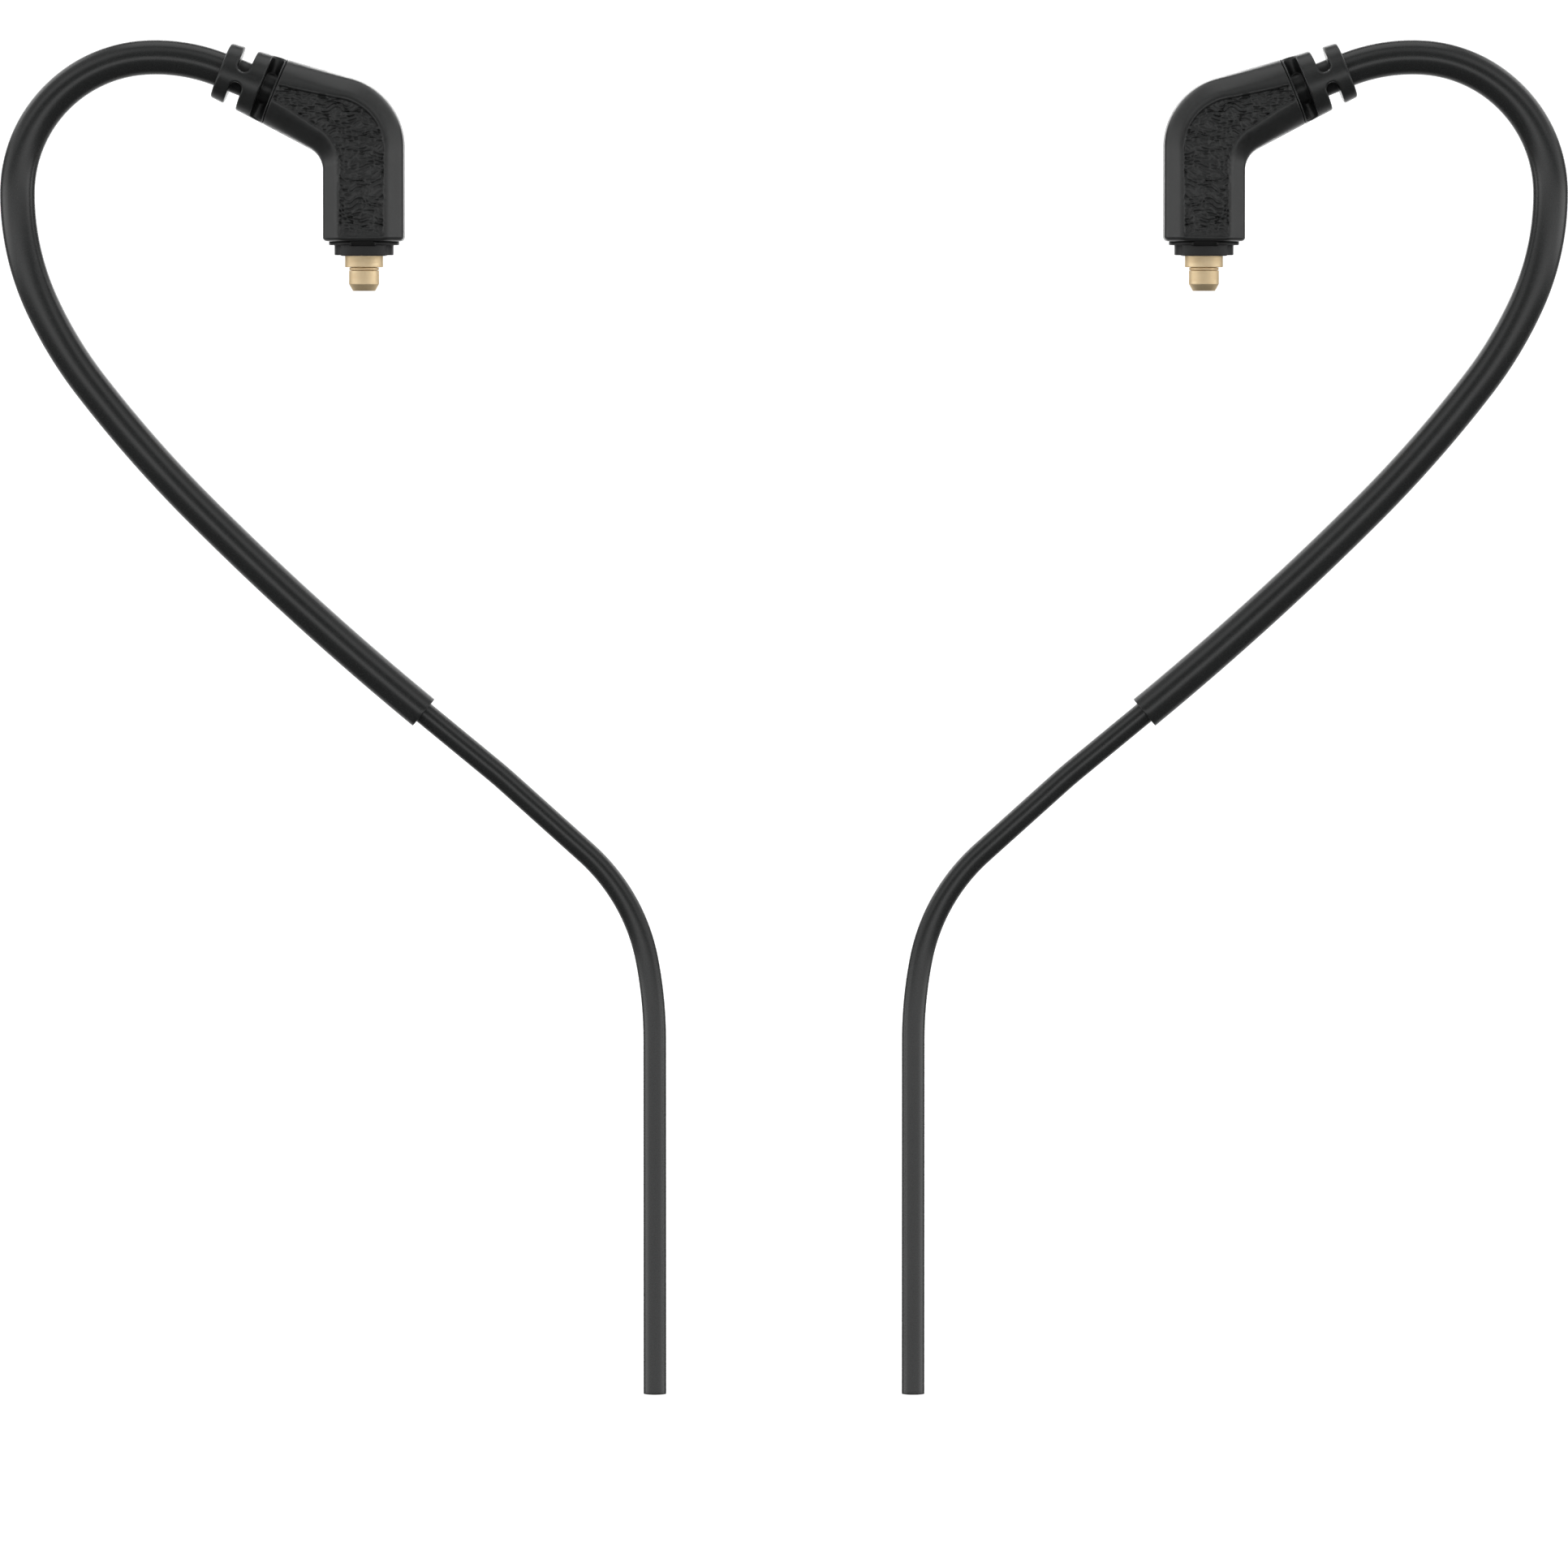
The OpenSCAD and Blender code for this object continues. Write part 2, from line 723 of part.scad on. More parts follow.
module plug_collar() {
  color(collar_colour) at_plug() difference() {
    union() {
      translate([0, 0, -plate_t]) cylinder(r = plate_r, h = plate_t);
      translate([-tab_w / 2, -tab_reach, -plate_t]) cube([tab_w, 2 * tab_reach, plate_t]);
      translate([0, 0, collar_end]) cylinder(r = collar_r, h = collar_t + over);
      intersection() {
        translate([-key_w / 2, -plate_r, collar_end - key_drop])
          cube([key_w, 2 * plate_r, collar_t + key_drop + over]);
        translate([0, 0, collar_end - key_drop - over])
          cylinder(r = plate_r - key_inset, h = collar_t + key_drop + 2 * over);
      }
      translate([0, 0, -over]) cylinder(r = spigot_r, h = spigot_end + over);
    }
    translate([0, 0, collar_end - 2 * over])
      cylinder(r = barrel_tail_r + press_gap, h = spigot_end - collar_end + 4 * over);
    translate([0, 0, collar_end - 2 * over]) cylinder(r = flange_r + bond_gap, h = 2 * over);
  }
}

module inner_mould() {
  color(mould_colour) difference() {
    union() {
      at_plug() translate([0, 0, mould_start])
        cylinder(r = column_bore_r - bond_gap, h = plug_drop - mould_start);
      upright() {
        translate([elbow[0], elbow[1], 0]) sphere(r = column_bore_r + elbow_ball);
        translate([elbow[0], elbow[1], 0]) rotate([0, 0, -arm_tilt])
          translate([base_end_s + over - arm_len, 0, 0]) along_x()
            cylinder(r = arm_bore_r - bond_gap, h = arm_len - base_end_s - over);
      }
    }
    at_plug() {
      plug_wires_at(bond_gap);
      translate([0, 0, mould_start - over]) cylinder(r = pocket_r, h = pocket_end - mould_start + over);
    }
  }
}

module solder_joints() {
  color(solder_colour) at_plug() difference() {
    union() {
      translate([0, 0, pin_blob_z]) sphere(r = pin_blob_r);
      translate([0, -ground_y + blob_shift, tail_end]) sphere(r = ground_blob_r);
    }
    pin_solid();
    barrel_solid();
    cylinder(r = barrel_bore_r, h = tail_end + bond_gap);
    plug_wires_at(0);
  }
}

cable_tail_jacket();  // left_cable_tail_jacket
cable_tail_wires();  // left_cable_tail_wires
cable_tail_yarns();  // left_cable_tail_yarns
cable_jacket();  // left_cable_jacket
cable_wires();  // left_cable_wires
cable_yarns();  // left_cable_yarns
hook_tube_lower();  // left_hook_tube_lower
hook_lower_jacket();  // left_hook_lower_jacket
hook_lower_wires();  // left_hook_lower_wires
hook_lower_yarns();  // left_hook_lower_yarns
hook_tube_upper();  // left_hook_tube_upper
hook_upper_jacket();  // left_hook_upper_jacket
hook_upper_wires();  // left_hook_upper_wires
hook_upper_yarns();  // left_hook_upper_yarns
relief_tip_ring();  // left_relief_tip_ring
relief_middle_ring();  // left_relief_middle_ring
relief_base();  // left_relief_base
front_shell();  // left_front_shell
rear_shell();  // left_rear_shell
inner_mould();  // left_inner_mould
plug_collar();  // left_plug_collar
contact_barrel();  // left_contact_barrel
snap_ring();  // left_snap_ring
dielectric();  // left_dielectric
centre_pin();  // left_centre_pin
plug_wires();  // left_plug_wires
solder_joints();  // left_solder_joints
right_side() cable_tail_jacket();  // right_cable_tail_jacket
right_side() cable_tail_wires();  // right_cable_tail_wires
right_side() cable_tail_yarns();  // right_cable_tail_yarns
right_side() cable_jacket();  // right_cable_jacket
right_side() cable_wires();  // right_cable_wires
right_side() cable_yarns();  // right_cable_yarns
right_side() hook_tube_lower();  // right_hook_tube_lower
right_side() hook_lower_jacket();  // right_hook_lower_jacket
right_side() hook_lower_wires();  // right_hook_lower_wires
right_side() hook_lower_yarns();  // right_hook_lower_yarns
right_side() hook_tube_upper();  // right_hook_tube_upper
right_side() hook_upper_jacket();  // right_hook_upper_jacket
right_side() hook_upper_wires();  // right_hook_upper_wires
right_side() hook_upper_yarns();  // right_hook_upper_yarns
right_side() relief_tip_ring();  // right_relief_tip_ring
right_side() relief_middle_ring();  // right_relief_middle_ring
right_side() relief_base();  // right_relief_base
right_side() front_shell();  // right_front_shell
right_side() rear_shell();  // right_rear_shell
right_side() inner_mould();  // right_inner_mould
right_side() plug_collar();  // right_plug_collar
right_side() contact_barrel();  // right_contact_barrel
right_side() snap_ring();  // right_snap_ring
right_side() dielectric();  // right_dielectric
right_side() centre_pin();  // right_centre_pin
right_side() plug_wires();  // right_plug_wires
right_side() solder_joints();  // right_solder_joints
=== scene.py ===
"""Looks of the in-ear monitor cable arms: fine meshes and procedural materials on the frame."""

import json
import math

import bmesh
import bpy
import numpy as np
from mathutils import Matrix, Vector


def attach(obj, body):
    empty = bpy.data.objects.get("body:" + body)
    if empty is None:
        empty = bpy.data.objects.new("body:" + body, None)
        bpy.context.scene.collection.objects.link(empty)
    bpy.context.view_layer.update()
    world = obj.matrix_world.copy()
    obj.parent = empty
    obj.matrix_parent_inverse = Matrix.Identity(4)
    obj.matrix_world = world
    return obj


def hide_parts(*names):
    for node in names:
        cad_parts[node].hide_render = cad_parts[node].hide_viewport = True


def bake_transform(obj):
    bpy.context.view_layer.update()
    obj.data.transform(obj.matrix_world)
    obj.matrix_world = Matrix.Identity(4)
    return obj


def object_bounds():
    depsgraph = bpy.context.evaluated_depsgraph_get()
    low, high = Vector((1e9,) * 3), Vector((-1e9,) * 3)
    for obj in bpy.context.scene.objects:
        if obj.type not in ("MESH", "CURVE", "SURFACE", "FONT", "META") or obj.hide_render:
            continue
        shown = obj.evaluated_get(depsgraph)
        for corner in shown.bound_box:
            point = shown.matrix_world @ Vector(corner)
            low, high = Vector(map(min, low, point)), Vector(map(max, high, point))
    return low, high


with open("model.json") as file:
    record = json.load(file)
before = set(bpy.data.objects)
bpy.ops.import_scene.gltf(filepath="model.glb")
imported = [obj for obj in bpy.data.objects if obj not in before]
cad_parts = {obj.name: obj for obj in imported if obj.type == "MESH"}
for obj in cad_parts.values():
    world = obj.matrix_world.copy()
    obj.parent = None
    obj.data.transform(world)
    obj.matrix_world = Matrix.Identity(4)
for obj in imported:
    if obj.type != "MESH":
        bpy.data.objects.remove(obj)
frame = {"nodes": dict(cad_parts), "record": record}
CAD_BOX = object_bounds()
MM = 0.001
MOUNTS = {m["name"]: m for m in frame["record"]["mounts"]}
SIDES = ("left", "right")

# ---------------------------------------------------------------- dimensions (mm), as in the CAD
JACKET_R = 0.925
JACKET_BORE_R = 0.62
HOOK_R = 1.4
HOOK_BORE_R = 0.95
ARM_TILT = math.radians(22)
ARM_LEN = 12.17
PLUG_DROP = 9.09
RELIEF_LEN = 4.55
TIP_LEAD = 0.12
RELIEF_TIP_R = 2.33
RELIEF_SLOPE = 0.096
TIP_RING = 1.07
NOTCH_W = 1.04
NOTCH_WEB = 0.46
RING_END = 3.4
SLOT_W = 1.0
SLOT_WEB = 0.6
COLUMN_W = 3.23
ARM_END_R = 2.76
ARM_FLARE = math.radians(6)
ELBOW_OUTER_R = 5.65
ELBOW_INNER_R = 2.0
CHAMFER = 1.35
ARM_DEPTH_SHARE = 0.8    # of the growth in depth and of the squareness
ARM_SQUARE_SHARE = 0.7   # that the arm has at its elbow

# Steps of the centreline from the cut end: (length, 0) is straight, (radius, degrees) a bend to
# the left, or to the right if negative. Each AT_ is the step that begins at that place.
PATH = [
    (28.4, 0), (34, 11), (15.5, 37), (8.4, 0), (36, 2.5), (5.7, 0), (1.5, 0),
    (250, -5.5), (103, -7.5), (33, -13), (21, -25), (10.85, -86), (14.2, -25.5), (1.59, 0),
]
AT_SPREAD, AT_SLANT, AT_SWAY, AT_MOUTH, AT_HOOK, AT_RELIEF = 2, 3, 6, 7, 11, 13


# ---------------------------------------------------------------- centreline
def heading(h):
    """Unit vector in the drawing plane, h radians round from the row's X."""
    return np.array([math.cos(h), math.sin(h)])


def left_of(h):
    return np.array([-math.sin(h), math.cos(h)])


def lay_path():
    """Start point, heading and distance of every step, in the XZ plane of the left arm."""
    end = MOUNTS["left_cable_end"]["pos_m"]
    point, h, s = np.array([end[0] / MM, 0.0]), math.pi / 2, 0.0
    places = [(point, h, s)]
    for size, turn in PATH:
        if turn == 0:
            point, s = point + size * heading(h), s + size
        else:
            t = math.radians(turn)
            point = point + math.copysign(size, turn) * (left_of(h) - left_of(h + t))
            h, s = h + t, s + size * abs(t)
        places.append((point, h, s))
    return places


PLACES = lay_path()
S_END = PLACES[-1][2]


def on_path(s):
    """Point and heading at distance s along the centreline."""
    s = min(max(s, 0.0), S_END)
    i = max(k for k in range(len(PATH)) if PLACES[k][2] <= s + 1e-9)
    point, h, s0 = PLACES[i]
    size, turn = PATH[i]
    d = s - s0
    if turn == 0:
        return point + d * heading(h), h
    t = math.copysign(d / size, turn)
    return point + math.copysign(size, turn) * (left_of(h) - left_of(h + t)), h + t


RELIEF_POINT, _, RELIEF_S = PLACES[AT_RELIEF]
ARM_DIR = heading(-ARM_TILT)
ARM_UP = left_of(-ARM_TILT)
ELBOW = RELIEF_POINT + ARM_LEN * ARM_DIR
NOTCH_S = TIP_RING + NOTCH_W / 2
SLOT_S = RING_END + SLOT_W / 2


def to_3d(flat, front):
    """Row-frame metres from drawing-plane millimetres and distance towards the front."""
    flat = np.asarray(flat, float)
    return np.stack([flat[..., 0] * MM, -np.asarray(front, float) * MM, flat[..., 1] * MM], -1)


def spot(point):
    return tuple(float(v) for v in to_3d(point, 0.0))


# ---------------------------------------------------------------- mesh helpers
WELD = 1e-7
AXIS_R = 0.01
BEVEL_SHARE = 0.45


def make_piece(name, side, verts, faces, material, sharp=35):
    """A mesh piece in row-frame metres, with edges above the angle sharp (degrees) left hard.
    The right arm's copy is mirrored."""
    verts = np.array(verts, float)
    if side == "right":
        verts[:, 0] *= -1
        faces = [tuple(reversed(f)) for f in faces]
    mesh = bpy.data.meshes.new(side + "_" + name)
    mesh.from_pydata([tuple(v) for v in verts], [], [tuple(int(i) for i in f) for f in faces])
    mesh.validate()
    bm = bmesh.new()
    bm.from_mesh(mesh)
    bmesh.ops.remove_doubles(bm, verts=bm.verts[:], dist=WELD)
    bmesh.ops.dissolve_degenerate(bm, edges=bm.edges[:], dist=WELD)
    bmesh.ops.recalc_face_normals(bm, faces=bm.faces[:])
    bm.to_mesh(mesh)
    bm.free()
    obj = bpy.data.objects.new(side + "_" + name, mesh)
    bpy.context.scene.collection.objects.link(obj)
    mesh.materials.append(material)
    mesh.shade_smooth()
    mesh.set_sharp_from_angle(angle=math.radians(sharp))
    return obj


def ring_faces(rows, n):
    """Quads between consecutive rings of n points each."""
    faces = []
    for i in range(rows - 1):
        for k in range(n):
            a, b = i * n + k, i * n + (k + 1) % n
            faces.append((a, b, b + n, a + n))
    return faces


def close_ends(verts, rows, n):
    """Fan caps on both ends of a stack of rings."""
    first = len(verts)
    verts = np.vstack([verts, verts[:n].mean(0), verts[(rows - 1) * n: rows * n].mean(0)])
    faces = [(k, first, (k + 1) % n) for k in range(n)]
    base = (rows - 1) * n
    faces += [(base + (k + 1) % n, first + 1, base + k) for k in range(n)]
    return verts, faces


def path_lathe(profile, n=48, offset=None, wobble=None):
    """A closed solid that follows the centreline. The profile is a list of (distance, radius);
    offset(s) gives a (left, front) shift of the centre, wobble(s, phi) a change of the radius."""
    rows = []
    phi = np.arange(n) * 2 * math.pi / n
    for s, r in profile:
        point, h = on_path(s)
        left, front = offset(s) if offset else (0.0, 0.0)
        rr = r + (wobble(s, phi) if wobble else 0.0)
        flat = point + np.outer(left + rr * np.cos(phi), left_of(h))
        rows.append(to_3d(flat, front + rr * np.sin(phi)))
    verts = np.vstack(rows)
    faces = [tuple(reversed(f)) for f in ring_faces(len(profile), n)]
    verts, caps = close_ends(verts, len(profile), n)
    return verts, faces + [tuple(reversed(f)) for f in caps]


def steps(a, b, size):
    """Distances from a to b, at most size apart."""
    return list(np.linspace(a, b, max(2, int(math.ceil(abs(b - a) / size)) + 1)))


def turned_rings(profile, n):
    """Rings of n points about the plug axis, one for each (radius, height) of the profile."""
    phi = np.arange(n) * 2 * math.pi / n
    return np.vstack([
        np.stack([(ELBOW[0] + r * np.cos(phi)) * MM, r * np.sin(phi) * MM,
                  np.full(n, (ELBOW[1] - PLUG_DROP + z) * MM)], -1) for r, z in profile])


def lathe(profile, n=96):
    """A turned solid with no bore: the profile runs from the axis back to the axis."""
    verts, caps = close_ends(turned_rings([(max(r, AXIS_R), z) for r, z in profile], n),
                             len(profile), n)
    return verts, ring_faces(len(profile), n) + caps


def turned_ring(profile, n=96):
    """A turned solid with a bore: the profile is a closed loop."""
    faces = ring_faces(len(profile), n)
    last = (len(profile) - 1) * n
    faces += [(last + k, last + (k + 1) % n, (k + 1) % n, k) for k in range(n)]
    return turned_rings(profile, n), faces


def bevel_profile(points, radius, n=4):
    """Rounds each corner of a profile, but not its two ends, with at most the given radius."""
    out = [points[0]]
    for a, b, c in zip(points, points[1:], points[2:]):
        a, b, c = np.array(a, float), np.array(b, float), np.array(c, float)
        la, lc = np.linalg.norm(a - b), np.linalg.norm(c - b)
        r = min(radius, la * BEVEL_SHARE, lc * BEVEL_SHARE)
        p, q = b + (a - b) / la * r, b + (c - b) / lc * r
        for k in range(n + 1):
            f = k / n
            out.append(tuple((1 - f) ** 2 * p + 2 * f * (1 - f) * b + f * f * q))
    out.append(points[-1])
    return out


# ---------------------------------------------------------------- smooth solids from distances
NET_PULLS = 4
NET_PROBE, NET_REACH = 0.25, 0.5   # in voxels
NET_FLAT = 0.05


def smooth_max(a, b, k):
    """The larger of a and b, rounded over a width k where they meet."""
    h = np.clip(0.5 + 0.5 * (a - b) / k, 0, 1)
    return b + (a - b) * h + k * h * (1 - h)


def smooth_min(a, b, k):
    return -smooth_max(-a, -b, k)


def surface_net(distance, lo, hi, voxel):
    """Quad mesh of the surface where distance(x, y, z) is zero, with each point pulled onto it."""
    axes = [np.arange(a, b + voxel, voxel) for a, b in zip(lo, hi)]
    grid = np.meshgrid(*axes, indexing="ij")
    field = distance(*grid)
    inside = field < 0
    shape = field.shape
    total = np.zeros([n - 1 for n in shape] + [3])
    count = np.zeros([n - 1 for n in shape])
    corner = [slice(0, -1), slice(1, None)]
    for axis in range(3):
        others = [a for a in range(3) if a != axis]
        for i in (0, 1):
            for j in (0, 1):
                pick_a, pick_b = [None] * 3, [None] * 3
                pick_a[axis], pick_b[axis] = corner[0], corner[1]
                for a, c in zip(others, (i, j)):
                    pick_a[a] = pick_b[a] = corner[c]
                fa, fb = field[tuple(pick_a)], field[tuple(pick_b)]
                cross = (fa < 0) != (fb < 0)
                t = np.where(cross, fa / np.where(cross, fa - fb, 1), 0)
                for a in range(3):
                    pa, pb = grid[a][tuple(pick_a)], grid[a][tuple(pick_b)]
                    total[..., a] += np.where(cross, pa + t * (pb - pa), 0)
                count += cross
    used = count > 0
    index = np.full(used.shape, -1)
    index[used] = np.arange(used.sum())
    verts = total[used] / count[used][:, None]
    faces = []
    for axis in range(3):
        a1, a2 = (axis + 1) % 3, (axis + 2) % 3
        pick_a, pick_b = [slice(1, -1)] * 3, [slice(1, -1)] * 3
        pick_a[axis], pick_b[axis] = slice(0, -1), slice(1, None)
        ia, ib = inside[tuple(pick_a)], inside[tuple(pick_b)]
        where = np.argwhere(ia != ib)
        flip = ia[tuple(where.T)]
        base = where + 1
        base[:, axis] -= 1
        corners = []
        for d1, d2 in ((1, 1), (0, 1), (0, 0), (1, 0)):
            cell = base.copy()
            cell[:, a1] -= d1
            cell[:, a2] -= d2
            corners.append(index[tuple(cell.T)])
        quad = np.stack(corners, 1)
        quad[~flip] = quad[~flip][:, ::-1]
        faces.append(quad)
    step = voxel * NET_PROBE
    shifts = np.eye(3) * step
    for _ in range(NET_PULLS):
        value = distance(*verts.T)
        grad = np.stack([
            (distance(*(verts + shift).T) - distance(*(verts - shift).T)) / (2 * step)
            for shift in shifts], 1)
        length = np.maximum((grad ** 2).sum(1), NET_FLAT)
        move = -(value / length)[:, None] * grad
        verts = verts + np.clip(move, -voxel * NET_REACH, voxel * NET_REACH)
    return verts, np.vstack(faces)


def arm_to_3d(points):
    """Row-frame metres from arm coordinates: along the arm from the relief's face, up, front."""
    flat = RELIEF_POINT + np.outer(points[:, 0], ARM_DIR) + np.outer(points[:, 1], ARM_UP)
    return to_3d(flat, points[:, 2])


# ---------------------------------------------------------------- materials
CAVITY_SAMPLES, CAVITY_REACH, CAVITY_SPAN, CAVITY_SHINE = 8, 0.9, (0.4, 0.85), (0.05, 0.5)
MOTTLE_SCALE, MOTTLE_SHARE, TONE_SPAN = 260, 0.6, (0.35, 0.65)
ROUGH_SPAN, MOULDED_SPREAD, EXTRUDED_SPREAD = (0.3, 0.7), 0.05, 0.015
# Near-black colour of the painted shade deep in slots and recesses.
SLOT_SHADE_BLACK = (0.004, 0.004, 0.004)
METAL_CLOUDS, METAL_LINES, METAL_LINE_DEPTH = 900, 600, 0.01
PLASTIC_CLOUDS, PLASTIC_GRAIN, PLASTIC_GRAIN_DEPTH, SCATTER_DEPTH = 700, 5200, 0.008, 0.4
TWIST_DISTORTION, TWIST_DEPTH = 1.5, 0.02


def node_tree(name):
    mat = bpy.data.materials.new(name)
    mat.use_nodes = True
    nodes, links = mat.node_tree.nodes, mat.node_tree.links
    return mat, nodes, links, nodes["Principled BSDF"]


def noise(nodes, links, vector, scale, detail, rough):
    n = nodes.new("ShaderNodeTexNoise")
    n.inputs["Scale"].default_value = scale
    n.inputs["Detail"].default_value = detail
    n.inputs["Roughness"].default_value = rough
    links.new(vector, n.inputs["Vector"])
    return n.outputs["Fac"]


def ramp(nodes, links, value, stops):
    r = nodes.new("ShaderNodeValToRGB")
    els = r.color_ramp.elements
    while len(els) < len(stops):
        els.new(0.5)
    for e, (pos, col) in zip(els, stops):
        e.position = pos
        e.color = (*col, 1)
    links.new(value, r.inputs["Fac"])
    return r.outputs["Color"]


def remap(nodes, links, value, lo, hi, over=(0.0, 1.0)):
    """The value's range over, stretched to lo..hi."""
    m = nodes.new("ShaderNodeMapRange")
    m.inputs["From Min"].default_value, m.inputs["From Max"].default_value = over
    m.inputs["To Min"].default_value = lo
    m.inputs["To Max"].default_value = hi
    links.new(value, m.inputs["Value"])
    return m.outputs["Result"]


def bump(nodes, links, height, strength, distance):
    b = nodes.new("ShaderNodeBump")
    b.inputs["Strength"].default_value = strength
    b.inputs["Distance"].default_value = distance
    links.new(height, b.inputs["Height"])
    return b.outputs["Normal"]


def position(nodes):
    return nodes.new("ShaderNodeTexCoord").outputs["Object"]


def colour_socket(sockets, name):
    return next(s for s in sockets if s.name == name and s.type == "RGBA")


def cavity(nodes, links, bsdf):
    """Painted shade from ambient occlusion: 1 in the open and 0 deep in a slot, where the
    reflection is also dimmed.
    """
    shade = nodes.new("ShaderNodeAmbientOcclusion")
    shade.samples = CAVITY_SAMPLES
    shade.inputs["Distance"].default_value = CAVITY_REACH * MM
    open_sky = remap(nodes, links, shade.outputs["AO"], 0.0, 1.0, CAVITY_SPAN)
    links.new(remap(nodes, links, open_sky, *CAVITY_SHINE), bsdf.inputs["Specular IOR Level"])
    return open_sky


def elastomer(name, colours, rough, grain_scale, bump_mm, sheen, extruded=False):
    """Matte black elastomer or plastic: mottled grey, fine pores, soft sheen. A moulded part gets
    painted shade in its slots, a near-black colour and a dimmer reflection; an extruded tube has
    none, and is smoother."""
    mat, nodes, links, bsdf = node_tree(name)
    pos = position(nodes)
    cloud = noise(nodes, links, pos, MOTTLE_SCALE, 3, 0.5)
    fine = noise(nodes, links, pos, grain_scale, 6, 0.6)
    tone = nodes.new("ShaderNodeMath")
    tone.operation = "ADD"
    links.new(remap(nodes, links, cloud, 0.0, MOTTLE_SHARE, TONE_SPAN), tone.inputs[0])
    links.new(remap(nodes, links, fine, 0.0, 1 - MOTTLE_SHARE, TONE_SPAN), tone.inputs[1])
    colour = ramp(nodes, links, tone.outputs[0], list(zip((0.0, 1.0), colours)))
    if extruded:
        links.new(colour, bsdf.inputs["Base Color"])
    else:
        # Painted shade: the colour fades to near black where ambient occlusion finds the surface
        # enclosed.
        deep = nodes.new("ShaderNodeMix")
        deep.data_type = "RGBA"
        links.new(cavity(nodes, links, bsdf), deep.inputs["Factor"])
        colour_socket(deep.inputs, "A").default_value = (*SLOT_SHADE_BLACK, 1)
        links.new(colour, colour_socket(deep.inputs, "B"))
        links.new(colour_socket(deep.outputs, "Result"), bsdf.inputs["Base Color"])
    spread = EXTRUDED_SPREAD if extruded else MOULDED_SPREAD
    links.new(remap(nodes, links, fine, rough - spread, rough + spread, ROUGH_SPAN),
              bsdf.inputs["Roughness"])
    bsdf.inputs["Sheen Weight"].default_value = sheen
    bsdf.inputs["Sheen Roughness"].default_value = 0.5
    links.new(bump(nodes, links, fine, 0.35, bump_mm * MM), bsdf.inputs["Normal"])
    return mat


def metal(name, base, dark, rough, line_scale):
    """Plated metal with turning marks and clouds of tarnish."""
    mat, nodes, links, bsdf = node_tree(name)
    pos = position(nodes)
    cloud = noise(nodes, links, pos, METAL_CLOUDS, 4, 0.6)
    mapping = nodes.new("ShaderNodeMapping")
    mapping.inputs["Scale"].default_value = (1, 1, line_scale)
    links.new(pos, mapping.inputs["Vector"])
    lines = noise(nodes, links, mapping.outputs["Vector"], METAL_LINES, 3, 0.5)
    links.new(ramp(nodes, links, cloud, [(0.3, dark), (0.62, base)]), bsdf.inputs["Base Color"])
    bsdf.inputs["Metallic"].default_value = 1.0
    links.new(remap(nodes, links, lines, rough - 0.06, rough + 0.1, ROUGH_SPAN),
              bsdf.inputs["Roughness"])
    links.new(bump(nodes, links, lines, 0.25, METAL_LINE_DEPTH * MM), bsdf.inputs["Normal"])
    return mat


def pale_plastic(name, base, light, scatter):
    """Pale plastic that lets a little light in."""
    mat, nodes, links, bsdf = node_tree(name)
    pos = position(nodes)
    cloud = noise(nodes, links, pos, PLASTIC_CLOUDS, 4, 0.55)
    fine = noise(nodes, links, pos, PLASTIC_GRAIN, 3, 0.5)
    links.new(ramp(nodes, links, cloud, [(0.3, base), (0.7, light)]), bsdf.inputs["Base Color"])
    links.new(remap(nodes, links, fine, 0.45, 0.55, ROUGH_SPAN), bsdf.inputs["Roughness"])
    links.new(bump(nodes, links, fine, 0.3, PLASTIC_GRAIN_DEPTH * MM), bsdf.inputs["Normal"])
    bsdf.inputs["Subsurface Weight"].default_value = scatter
    bsdf.inputs["Subsurface Scale"].default_value = SCATTER_DEPTH * MM
    return mat


def strand(name, base, dark, rough, metallic, wave_scale):
    """Fine twisted strands."""
    mat, nodes, links, bsdf = node_tree(name)
    pos = position(nodes)
    wave = nodes.new("ShaderNodeTexWave")
    wave.inputs["Scale"].default_value = wave_scale
    wave.inputs["Distortion"].default_value = TWIST_DISTORTION
    wave.bands_direction = "DIAGONAL"
    links.new(pos, wave.inputs["Vector"])
    links.new(ramp(nodes, links, wave.outputs["Fac"], [(0.2, dark), (0.8, base)]),
              bsdf.inputs["Base Color"])
    bsdf.inputs["Metallic"].default_value = metallic
    links.new(remap(nodes, links, wave.outputs["Fac"], rough, rough + 0.15),
              bsdf.inputs["Roughness"])
    links.new(bump(nodes, links, wave.outputs["Fac"], 0.5, TWIST_DEPTH * MM),
              bsdf.inputs["Normal"])
    return mat


TUBE_GREYS = (0.019, 0.0202, 0.02), (0.024, 0.0256, 0.0253)
RELIEF_GREYS = (0.017, 0.0182, 0.018), (0.025, 0.0266, 0.0263)
SHELL_GREYS = (0.017, 0.018, 0.0178), (0.025, 0.0263, 0.026)
COLLAR_GREYS = (0.008, 0.0082, 0.0082), (0.013, 0.0133, 0.0133)
M_JACKET = elastomer("cable_jacket_tpe", TUBE_GREYS, 0.27, 3200, 0.001, 0.02, extruded=True)
M_HOOK = elastomer("hook_tube_tpe", TUBE_GREYS, 0.27, 2400, 0.001, 0.02, extruded=True)
M_RELIEF = elastomer("relief_tpe", RELIEF_GREYS, 0.33, 2800, 0.005, 0.02)
M_SHELL = elastomer("housing_plastic", SHELL_GREYS, 0.36, 3000, 0.006, 0.02)
M_COLLAR = elastomer("collar_plastic", COLLAR_GREYS, 0.48, 3000, 0.005, 0.0)
M_GOLD = metal("gold_plate", (0.99, 0.8, 0.52), (0.95, 0.76, 0.48), 0.54, 14)
M_PTFE = pale_plastic("ptfe", (0.72, 0.72, 0.69), (0.82, 0.82, 0.79), 0.2)
